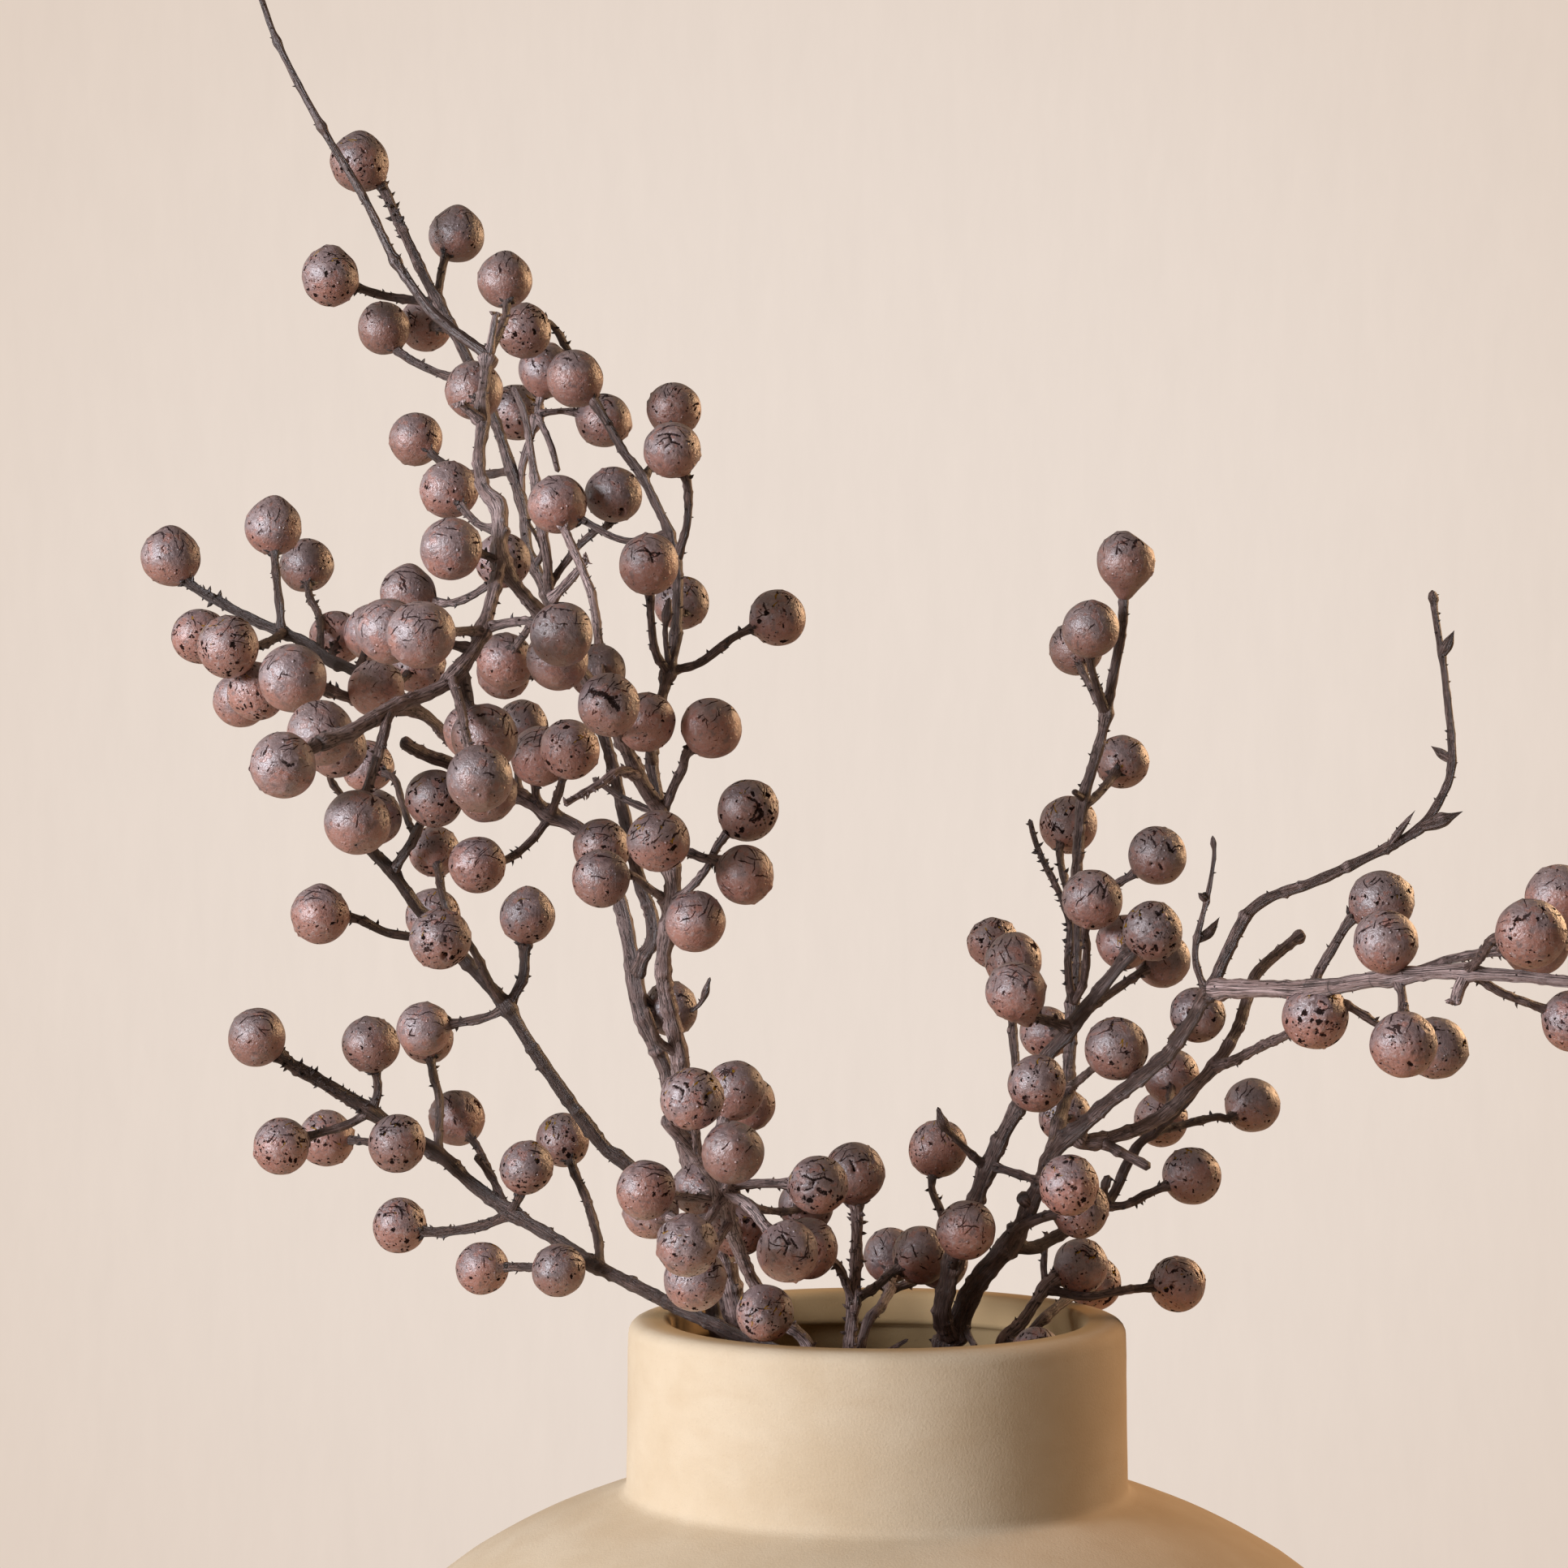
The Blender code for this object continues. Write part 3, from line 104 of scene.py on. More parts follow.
# A branch is its name, its foot on the vase's floor and its limbs.
# A limb is (name, limb it grows from, (thickness at root, at tip), pod, points).
# A point is (across, above the rim, nearer the eye than the axis), each as it measures at the
# distance of the vase's axis. Where the third number is left out, it changes evenly.

FRONT_LEFT_LIMBS = [
    ("main", "", (5.4, 3.9), 0, [
        (-32, -10, -8), (-33.5, -1, -7), (-35.9, 9.5, -5), (-37.4, 16.2, -3), (-41, 26, 0),
        (-46.6, 42, 4), (-48.5, 54, 9), (-48.4, 64.5, 12), (-50.2, 74, 15), (-52.2, 83, 18),
        (-52.6, 90, 21), (-51.6, 98, 25), (-50.3, 107, 28), (-51, 114, 30), (-53, 126, 32)]),
    ("tall", "main", (3.9, 2.9), 0, [
        (-53, 126), (-57.4, 132.6, 38), (-60, 138.2, 42), (-62.8, 144.4, 47), (-67, 152, 54),
        (-74, 163, 62), (-82.3, 174.6, 68), (-90.5, 184.4, 72), (-92.6, 189, 72),
        (-92.8, 194.5, 71), (-93.1, 201.3, 68), (-96.7, 206, 66), (-97.9, 213, 62),
        (-96.9, 222.3, 56), (-97.2, 226.4, 54), (-96.4, 233, 50), (-95.6, 238.7, 46)]),
    ("bare twig", "tall", (2.8, 1.4), 0, [
        (-95.6, 238.7), (-104.6, 245.2, 43), (-109.8, 249.8, 42), (-115, 256.7, 40),
        (-119.6, 264, 38), (-125.4, 276, 36), (-130, 284, 34), (-135.2, 292.5, 32),
        (-142.7, 306, 30), (-148.5, 318, 28), (-151.5, 326.5, 26), (-155.5, 337, 24)]),
    ("", "tall", (2.2, 2.0), 13.5, [(-95.6, 238.7), (-91.3, 249, 36), (-91.6, 257.1, 30)]),
    ("", "tall", (1.7, 1.2), 0, [(-95.6, 238.7), (-93.8, 249.5, 46)]),
    ("", "tall", (1.7, 1.2), 0, [(-96.9, 222.3), (-102.8, 227.4, 60)]),
    ("", "tall", (2.2, 2.0), 14.5, [(-96.9, 222.3), (-99, 230, 36)]),
    ("", "tall", (2.2, 2.0), 14.4, [(-93, 195.5), (-98.5, 197.5, 67), (-105.4, 205.8, 58)]),
    ("", "tall", (2.4, 2.2), 15.2, [(-92.7, 187), (-97.5, 190, 76), (-104.8, 191.3, 82)]),
    ("", "tall", (2.2, 2.0), 13.5, [(-90.5, 184.4), (-92, 188.3, 52)]),
    ("", "tall", (2.2, 2.0), 13.5, [(-92.7, 184.5), (-104, 178, 66), (-115.6, 180, 62)]),
    ("", "tall", (2.4, 2.2), 15.2, [(-76, 166), (-78.7, 163.8, 78)]),
    ("", "tall", (2.2, 2.0), 14.2, [(-83, 175.5), (-91.4, 163.6, 46)]),
    ("", "tall", (2.2, 2.0), 13.0, [(-74, 163), (-84, 160, 42), (-92, 160.5, 24)]),
    ("", "tall", (2.4, 2.2), 15.7, [(-62.8, 144.4), (-66, 152.7, 82)]),
    ("", "tall", (2.2, 2.0), 14.0, [(-66, 150), (-68.7, 161, 34)]),
    ("spiny", "tall", (3.0, 1.6), 0, [
        (-58.5, 135.5), (-63.6, 136.3, 48), (-68, 133.3, 53), (-73, 130.5, 57), (-77, 128, 60)]),
    ("droop", "tall", (3.4, 4.2), 0, [
        (-92.6, 189), (-93.1, 185.4, 75), (-94.6, 179.2, 79), (-96.7, 172.1, 84),
        (-99.2, 166.4, 88), (-105.4, 158.6, 94), (-110.5, 155.6, 98), (-117.2, 153.1, 103),
        (-123.8, 149.5, 109), (-130, 145.9, 115), (-138, 143, 122)]),
    ("", "droop", (2.6, 2.2), 15.6, [
        (-96.9, 171.5), (-91, 172.8, 87), (-85.9, 173.3, 90), (-77.4, 170, 96)]),
    ("", "droop", (2.6, 2.4), 16.8, [(-97.2, 170.8), (-103.3, 170.8, 98), (-112.2, 170, 120)]),
    ("", "droop", (2.4, 2.2), 16.3, [(-99.2, 166.4), (-107, 168, 90), (-120.4, 171, 96)]),
    ("", "droop", (2.6, 2.4), 16.4, [
        (-105, 159.5), (-102.3, 151.5, 106), (-100.6, 142.5, 116), (-98.05, 134.6, 124)]),
    ("", "droop", (2.4, 2.2), 16.4, [(-103, 161.5), (-101, 153, 92), (-96.4, 144.5, 98)]),
    ("", "droop", (2.2, 2.0), 13.5, [(-102, 163), (-100, 153, 76), (-100, 146, 62)]),
    ("", "droop", (2.6, 2.4), 16.1, [
        (-120, 151.5), (-121.5, 145.5, 112), (-125.4, 132.1, 116), (-127.9, 123.8, 120)]),
    ("", "droop", (2.8, 2.6), 16.4, [(-137, 143.4), (-146.3, 137.9, 130)]),
    ("", "droop", (2.6, 2.4), 16.2, [(-130, 145.9), (-137.1, 145.6, 98)]),
    ("second", "main", (3.4, 2.2), 13.9, [
        (-53, 126), (-55, 135, 29), (-55.4, 140.8, 27), (-53.5, 152, 24), (-51.3, 160.5, 22),
        (-49.7, 168, 20), (-49, 177, 17), (-49.2, 187, 14), (-51.3, 195.6, 12),
        (-54.4, 202.3, 10), (-58, 209.4, 7), (-62, 214.6, 5), (-66, 221.5, 2),
        (-69.3, 226.9, 1), (-74.2, 233.1, 0)]),
    ("", "second", (2.2, 2.0), 14.7, [(-55.2, 138.5), (-56.8, 148.6, 50)]),
    ("", "second", (2.0, 1.8), 13.5, [(-57.5, 208.5), (-52, 217, -1), (-50, 225.6, -10)]),
    ("", "second", (2.2, 2.0), 14.5, [
        (-49.2, 188), (-46.7, 197.2, 17), (-46.4, 203.3, 18), (-46.9, 208.5, 20),
        (-50.4, 215.5, 23)]),
    ("", "second", (2.2, 2.0), 14.9, [
        (-51.3, 160.5), (-54.6, 166.5, 29), (-55.9, 179.7, 37), (-56.3, 187.4, 41)]),
    ("", "second", (1.6, 1.2), 0, [(-51.1, 161.5), (-52.1, 171, 25), (-51, 179.2, 27)]),
    ("", "second", (2.2, 2.0), 13.4, [(-49.7, 170), (-48, 177.7, -4)]),
    ("", "second", (2.2, 2.0), 14.0, [
        (-51.2, 161), (-44.1, 162.8, 20), (-39, 166.4, 18), (-34.9, 169.5, 16),
        (-24.5, 174.3, 12)]),
    ("", "second", (2.0, 1.8), 13.7, [
        (-68.8, 226), (-72, 233, -14), (-76.2, 240.3, -17), (-80.8, 246.8, -13),
        (-86.9, 244.9, -8)]),
    ("", "second", (1.8, 1.6), 14.5, [
        (-51.2, 195), (-61.5, 193.1, 10), (-72.3, 198.2, 6), (-78.7, 202.1, 4)]),
    ("", "tall", (1.8, 1.6), 0, [
        (-67.5, 153), (-68.5, 168.5, 30), (-70, 179.2, 22), (-72.6, 186.2, 17),
        (-77.2, 196.5, 9)]),
    ("", "main", (2.6, 2.4), 15.2, [
        (-52.8, 125.5), (-49.7, 133.1, 37), (-47.7, 137.2, 40), (-46.7, 140.8, 43),
        (-40.8, 147, 47)]),
    ("", "main", (2.6, 2.4), 15.3, [(-51, 113.5), (-53.7, 119.2, 53)]),
    ("", "main", (2.2, 2.0), 15.0, [
        (-50.6, 104.5), (-46.7, 106.9, 32), (-42.1, 112.1, 34), (-38.8, 118.6, 35),
        (-31.6, 126.8, 36)]),
    ("", "main", (2.4, 2.2), 14.9, [
        (-51.3, 116), (-47.2, 116.7, 36), (-43.1, 115.1, 38), (-39.5, 114.3, 39),
        (-32.3, 110.8, 41)]),
    ("", "main", (2.4, 2.2), 15.1, [(-51.6, 98), (-44.7, 99.3, 46)]),
    ("", "main", (2.2, 2.0), 14.5, [
        (-50.5, 104), (-55.9, 107.4, 28), (-60, 110.5, 31), (-67.9, 110.1, 35)]),
    ("", "main", (2.0, 1.6), 0, [(-52.9, 125.5), (-62.1, 129.5, 28), (-70, 134.7, 27)]),
    ("", "main", (2.4, 1.8), 0, [
        (-49, 66.5), (-53.8, 70, 18), (-55.4, 74.1, 23), (-56.9, 78.2, 26)]),
]

BACK_LEFT_LIMBS = [
    ("main", "", (4.6, 3.2), 0, [
        (-35, -10, -24), (-38, 8, -22), (-42, 24, -18), (-45.5, 38, -14), (-49, 50, -10),
        (-52.3, 63.4, -7), (-55.4, 70.6, -6), (-58.3, 77.5, -6), (-60, 88.5, -7),
        (-62.4, 101.3, -9), (-66, 112, -13), (-69, 118, -15), (-74, 122.6, -16),
        (-80.3, 125.6, -15), (-88.2, 130.5, -12), (-96, 134.3, -10), (-105.5, 138.4, -6),
        (-111.3, 140.5, -3), (-117, 143.8, 3)]),
    ("", "main", (2.4, 2.2), 13.6, [(-58, 76.5), (-50.8, 77.8, -13)]),
    ("", "main", (2.0, 0.8), 0, [
        (-59, 82), (-50.8, 76.5, -10), (-43.9, 78.6, -8), (-41, 85.6, -6)]),
    ("tall back", "main", (3.6, 2.4), 14.4, [
        (-59.6, 85.5), (-57.5, 90.5, -5), (-55.2, 95, -4), (-55.5, 101, -5), (-57.9, 107.5, -6),
        (-62.5, 127, -10), (-66.7, 143.8, -14), (-72, 158, -17), (-80.8, 179.2, -20),
        (-85.9, 191, -22), (-86.9, 200.3, -23), (-90.5, 212.1, -25), (-94.1, 222.8, -27),
        (-98.5, 233, -29), (-106.3, 248.7, -31), (-110.4, 256.2, -32), (-117.3, 270.6, -31),
        (-121.9, 280.4, -30), (-127.4, 286.4, -30)]),
    ("", "tall back", (2.2, 2.0), 13.6, [
        (-108.3, 252.5), (-106.3, 263, -40), (-103.5, 268.6, -44)]),
    ("", "tall back", (2.2, 2.0), 14.2, [
        (-108, 251.8), (-113, 252.3, -31), (-122.5, 253.8, -28), (-134.6, 258.2, -22)]),
    ("", "tall back", (2.2, 2.0), 12.8, [
        (-98.5, 233), (-105, 233.6, -33), (-109.5, 235.1, -36), (-117.7, 239.7, -40),
        (-121.5, 245.5, -42)]),
    ("", "tall back", (2.2, 2.0), 13.3, [(-104.5, 245), (-111, 246.4, -54)]),
    ("", "tall back", (2.2, 2.0), 13.1, [
        (-90, 210.5), (-97, 209.5, -33), (-105, 211, -42), (-113.7, 218.2, -52)]),
    ("", "tall back", (2.0, 1.8), 14.2, [
        (-81.5, 181), (-74.6, 190.5, -15), (-70, 195, -12), (-66, 197.3, -9), (-64.8, 204.4, -5)]),
    ("", "tall back", (1.8, 1.0), 0, [(-80.5, 178.5), (-76.2, 182.8, -14), (-71.3, 188.5, -9)]),
    ("", "tall back", (1.8, 1.0), 0, [(-84, 187), (-82.3, 191, -18), (-86.2, 198.2, -10)]),
    ("node", "tall back", (2.2, 2.0), 0, [
        (-87.5, 203), (-87.4, 211, -25), (-85.2, 219, -24), (-83.5, 224.5, -23)]),
    ("", "node", (1.8, 1.8), 13.6, [(-83.5, 224.5), (-76, 225, -25), (-67.2, 222.9, -27)]),
    ("", "node", (1.8, 1.8), 13.5, [(-83.5, 224.5), (-83, 228, -24), (-81.3, 235, -25)]),
    ("", "node", (1.8, 1.8), 14.0, [(-84, 222.5), (-89, 224.7, -44)]),
    ("", "node", (1.8, 1.6), 0, [(-83.5, 224), (-80.4, 217, -19), (-78.4, 210, -16)]),
    ("curl", "tall back", (2.2, 1.2), 0, [
        (-80.8, 179.2), (-81.3, 190, -13), (-82.8, 197.2, -11), (-84.6, 211, -10),
        (-86.9, 224.9, -13), (-89.7, 231.3, -15)]),
    ("", "main", (2.2, 2.0), 14.0, [(-66, 112), (-67.9, 117.5, 5)]),
    ("", "main", (2.2, 2.0), 14.1, [
        (-80.3, 125.6), (-84.6, 119.7, -12), (-90.8, 114.8, -7), (-98.2, 113.3, 0)]),
    ("", "main", (2.2, 2.0), 14.7, [(-80.3, 125.6), (-78, 132, -5), (-75.6, 141.9, 14)]),
    ("", "main", (2.2, 2.0), 14.8, [(-81.5, 126.3), (-84, 131, -11), (-82.8, 140, -4)]),
    ("", "main", (2.0, 1.8), 13.2, [(-88.2, 130.5), (-88.5, 139, -20), (-87.4, 147.6, -26)]),
    ("", "main", (2.2, 2.0), 15.0, [(-92.5, 132.5), (-96, 131, 20)]),
    ("left", "main", (3.2, 3.0), 17.0, [
        (-96, 134.3), (-104.1, 142.8, 10), (-109.2, 148.5, 25), (-113, 151, 32),
        (-120.8, 151.6, 43), (-135.8, 156.5, 63), (-144.1, 159.4, 74)]),
    ("far left", "left", (3.0, 2.2), 14.5, [
        (-113, 151), (-121, 157, 30), (-130, 161.7, 24), (-135.2, 163.8, 20),
        (-139.8, 167.5, 16), (-146.1, 170.4, 12), (-153.1, 173.3, 9), (-160, 177, 6),
        (-169.2, 182.5, 2), (-174.1, 189.1, 0)]),
    ("", "far left", (2.2, 2.0), 14.0, [
        (-146.7, 170.7), (-147, 176.2, 12), (-148.2, 187.7, 6), (-148.6, 196.5, 2)]),
    ("", "far left", (2.0, 1.8), 13.5, [
        (-137, 165.5), (-137.2, 174, 2), (-139.8, 180, -10), (-140.4, 187.1, -18)]),
    ("", "far left", (2.0, 1.8), 13.3, [(-134.5, 163.5), (-133, 169.2, -2)]),
    ("", "far left", (2.0, 1.8), 14.0, [(-128, 160.8), (-124.2, 170.4, 6)]),
    ("", "far left", (2.0, 1.8), 14.2, [(-119.5, 156), (-113.3, 163, 12)]),
    ("", "far left", (2.0, 1.8), 14.2, [(-119, 155.5), (-123.4, 157, 56)]),
    ("", "far left", (2.4, 2.2), 15.3, [(-146.1, 170.4), (-151.9, 167.4, 28), (-159.7, 167, 44)]),
    ("", "far left", (2.0, 1.8), 13.8, [(-155, 174.3), (-166.6, 169.6, -2)]),
    ("low pair", "left", (2.4, 2.2), 14.4, [
        (-135.8, 156.5), (-145, 154.5, 46), (-152.8, 156.2, 36)]),
    ("", "low pair", (2.0, 1.8), 13.8, [(-145, 154.5), (-156.5, 154.2, 10)]),
]

MID_LEFT_LIMBS = [
    ("main", "", (4.0, 3.0), 14.0, [
        (-38.5, -10, -16), (-40, 2, -15), (-43, 12, -14), (-49, 22, -17), (-55, 31, -20),
        (-61.5, 39.4, -21), (-66.6, 43.2, -22), (-73.1, 51.5, -22), (-80.3, 61.6, -23),
        (-85.6, 69.5, -24), (-91.3, 78.7, -26), (-96, 84, -26), (-101, 89.5, -26),
        (-106, 95, -25), (-112.3, 101.8, -22), (-119.5, 111.8, -18), (-124.6, 117.6, -12),
        (-124, 125, -5)]),
    ("", "main", (2.6, 2.8), 13.6, [
        (-91, 78), (-89, 81.5, -26), (-87, 86, -27), (-86.7, 93, -28), (-86.3, 100.5, -28)]),
    ("", "main", (2.2, 2.2), 13.3, [
        (-91, 78.2), (-96.4, 75.6, -27), (-104.1, 74.1, -29), (-111.4, 72.8, -30)]),
    ("", "main", (2.4, 2.2), 15.0, [(-104, 92.8), (-107.4, 95.1, 13)]),
    ("", "main", (2.2, 2.0), 13.8, [(-110.5, 100), (-109.2, 100.5, -48)]),
    ("", "main", (2.2, 2.2), 12.6, [
        (-91.5, 79), (-94.4, 82.6, -22), (-99.5, 92.5, -13), (-104, 98.5, -9),
        (-106.5, 104, -8), (-108.8, 116.7, -26)]),
    ("", "main", (2.4, 2.2), 14.2, [
        (-106, 95), (-114.9, 95.6, -18), (-121, 96.7, -15), (-128, 99.9, -11),
        (-137.2, 101, -8)]),
    ("side", "main", (2.6, 2.4), 14.4, [
        (-119.3, 111.5), (-114.4, 119.2, -14), (-112.8, 122.5, -11), (-109, 129.6, -2)]),
    ("", "side", (1.8, 1.8), 13.0, [
        (-113.6, 120.8), (-115.2, 123.5, -16), (-117.2, 129.5, -24), (-119, 134.6, -32),
        (-125.4, 137.5, -40)]),
    ("", "main", (2.0, 1.8), 14.6, [
        (-124.6, 117.6), (-129, 126, 0), (-132.3, 131, 5), (-134.6, 134.8, 9), (-133, 141.9, 14)]),
]

LOW_LEFT_LIMBS = [
    ("main", "", (3.8, 3.2), 14.4, [
        (-16.5, -30, 11), (-18, -16, 11), (-22, -8.8, 9), (-29.2, -4.6, 5), (-34.4, -2.8, 3),
        (-39.5, -0.3, 2), (-44, 1.8, 0), (-48.5, 3.9, -3), (-53.5, 6.5, -8),
        (-61.8, 10.7, -18), (-70, 14.8, -28), (-74.1, 17.7, -37), (-81.3, 22.3, -44),
        (-89.5, 27.2, -50), (-99.7, 34.6, -56), (-106.7, 41, -60), (-118, 48, -63),
        (-125.6, 53.1, -61), (-137.7, 60.4, -55), (-144, 64, -51), (-152.8, 70.8, -46)]),
    ("", "main", (2.2, 2.2), 14.2, [(-124.6, 52.5), (-122.9, 57.7, -61), (-124.7, 69, -58)]),
    ("", "main", (2.2, 2.2), 12.8, [
        (-108, 42), (-107.7, 55.4, -70), (-109.2, 61.5, -76), (-110.6, 70.5, -84)]),
    ("", "main", (2.4, 2.2), 14.0, [
        (-125, 52.6), (-129.6, 49.6, -60), (-138.8, 46.7, -56), (-146.8, 44, -52)]),
    ("", "main", (2.2, 2.0), 13.8, [
        (-110, 43), (-118, 43.8, -72), (-127, 45.2, -80), (-135.4, 45.8, -86)]),
    ("", "main", (2.2, 2.2), 14.3, [(-112, 44.5), (-118.1, 44.5, -42)]),
    ("fork", "main", (2.0, 2.0), 13.8, [
        (-91.2, 28.3), (-95.6, 38.1, -60), (-98.4, 43.8, -70), (-103.4, 50.8, -80)]),
    ("", "fork", (1.8, 1.6), 0, [(-94.5, 36), (-98.9, 41.7, -56)]),
    ("", "main", (2.2, 2.2), 13.2, [(-90, 27.6), (-87.9, 32.1, -46), (-86.3, 38.8, -44)]),
    ("", "main", (2.4, 2.2), 13.2, [
        (-68.4, 14), (-68.5, 20.3, -36), (-71.5, 31, -48), (-74.4, 37.5, -56),
        (-77.2, 45.4, -64)]),
    ("", "main", (2.6, 2.4), 13.4, [
        (-90, 27.5), (-95.5, 25, -54), (-100.8, 23.6, -57), (-110, 22.8, -62),
        (-117.4, 24.4, -66)]),
    ("", "main", (2.0, 2.2), 13.0, [
        (-71.5, 15.8), (-78.5, 14, -42), (-85.4, 14.1, -46), (-91, 14.1, -50),
        (-97.2, 14, -54)]),
    ("", "main", (2.2, 2.0), 13.3, [(-71, 15.3), (-78.5, 13.3, -18)]),
]

FRONT_CLUSTER_LIMBS = [
    ("main", "", (3.4, 3.8), 0, [
        (-15.8, -30, 22), (-15.9, -14, 22), (-16.8, -5.5, 22), (-19.5, -2, 23),
        (-24.5, 1.5, 25), (-29.7, 9.5, 29), (-31.8, 13.6, 33), (-34, 19, 38),
        (-36.5, 26.5, 45), (-37.9, 33.1, 50), (-43.1, 40.8, 56), (-47.7, 45.9, 62),
        (-52, 51.3, 67)]),
    ("", "main", (2.4, 2.2), 15.8, [(-44, 41.8), (-45.4, 55.7, 78)]),
    ("", "main", (2.4, 2.2), 15.4, [(-37.9, 33.1), (-36, 36.5, 64), (-35.2, 42.3, 82)]),
    ("upper", "main", (2.2, 2.0), 15.1, [(-41.5, 38.5), (-39, 47, 56), (-34.9, 57.4, 52)]),
    ("", "upper", (2.0, 1.8), 13.2, [(-38, 50), (-31.4, 54.5, 20)]),
    ("", "main", (2.4, 2.2), 14.9, [(-37.3, 30.5), (-48, 31.5, 54), (-56.9, 33, 62)]),
    ("", "main", (2.2, 2.0), 13.6, [(-36.8, 28), (-47, 25.5, 44), (-55.6, 28, 36)]),
    ("", "main", (2.2, 2.0), 13.8, [(-37.5, 31.5), (-43.5, 33.3, 26)]),
    ("", "main", (2.4, 2.2), 15.9, [(-37.6, 32), (-42, 25, 66), (-46.6, 19.5, 88)]),
    ("", "main", (2.4, 2.2), 15.7, [(-36.2, 25.5), (-41, 17.5, 56), (-44.7, 11, 66)]),
    ("", "main", (2.2, 2.0), 14.5, [(-35, 22.5), (-34.4, 23.8, 22)]),
    ("", "main", (2.6, 2.4), 14.7, [
        (-37.9, 33.1), (-34.4, 34.1, 51), (-28.2, 34.7, 52), (-22.1, 34.6, 52),
        (-14.4, 34.4, 53)]),
    ("low right", "main", (3.0, 2.6), 15.2, [
        (-37.9, 33.1), (-31.3, 29, 56), (-27.2, 23.8, 61), (-21.8, 18.2, 67)]),
    ("", "low right", (2.0, 1.8), 13.8, [
        (-31.3, 29), (-26, 28, 47), (-21, 28, 31), (-17.3, 29.5, 18)]),
    ("", "main", (2.2, 2.0), 14.2, [(-27, 5.5), (-27.4, 2.7, 42)]),
]

CENTRE_LIMBS = [
    ("main", "", (3.3, 3.2), 15.2, [
        (-6.7, -20, 15), (-6.7, -6.4, 15), (-5.6, 6.9, 17), (-4.9, 18.7, 21), (-4.9, 29, 25),
        (-5.7, 37.3, 27)]),
    ("", "main", (2.4, 2.2), 15.4, [
        (-5.8, 5), (-7.4, 10, 20), (-10.3, 15.4, 28), (-17.3, 18.8, 37)]),
    ("", "main", (2.4, 2.2), 14.5, [(-5.6, 6), (-0.5, 9, 13), (3.6, 12.6, 9), (11, 17, 4)]),
    ("low", "main", (3.0, 2.6), 13.8, [
        (-6.7, -16), (-4.1, -6.4, 11), (-2, 0.8, 8), (1, 4.4, 4), (3.4, 9.5, -6),
        (3.5, 17, -18)]),
    ("", "low", (2.2, 2.0), 13.6, [(3, 8.5), (9, 10.5, -8), (15.7, 15.5, -26)]),
    ("", "main", (1.8, 1.0), 0, [(-6.4, -10), (-1.5, -8.2, 19), (3.1, -6.2, 22), (7.8, -3.6, 24)]),
]

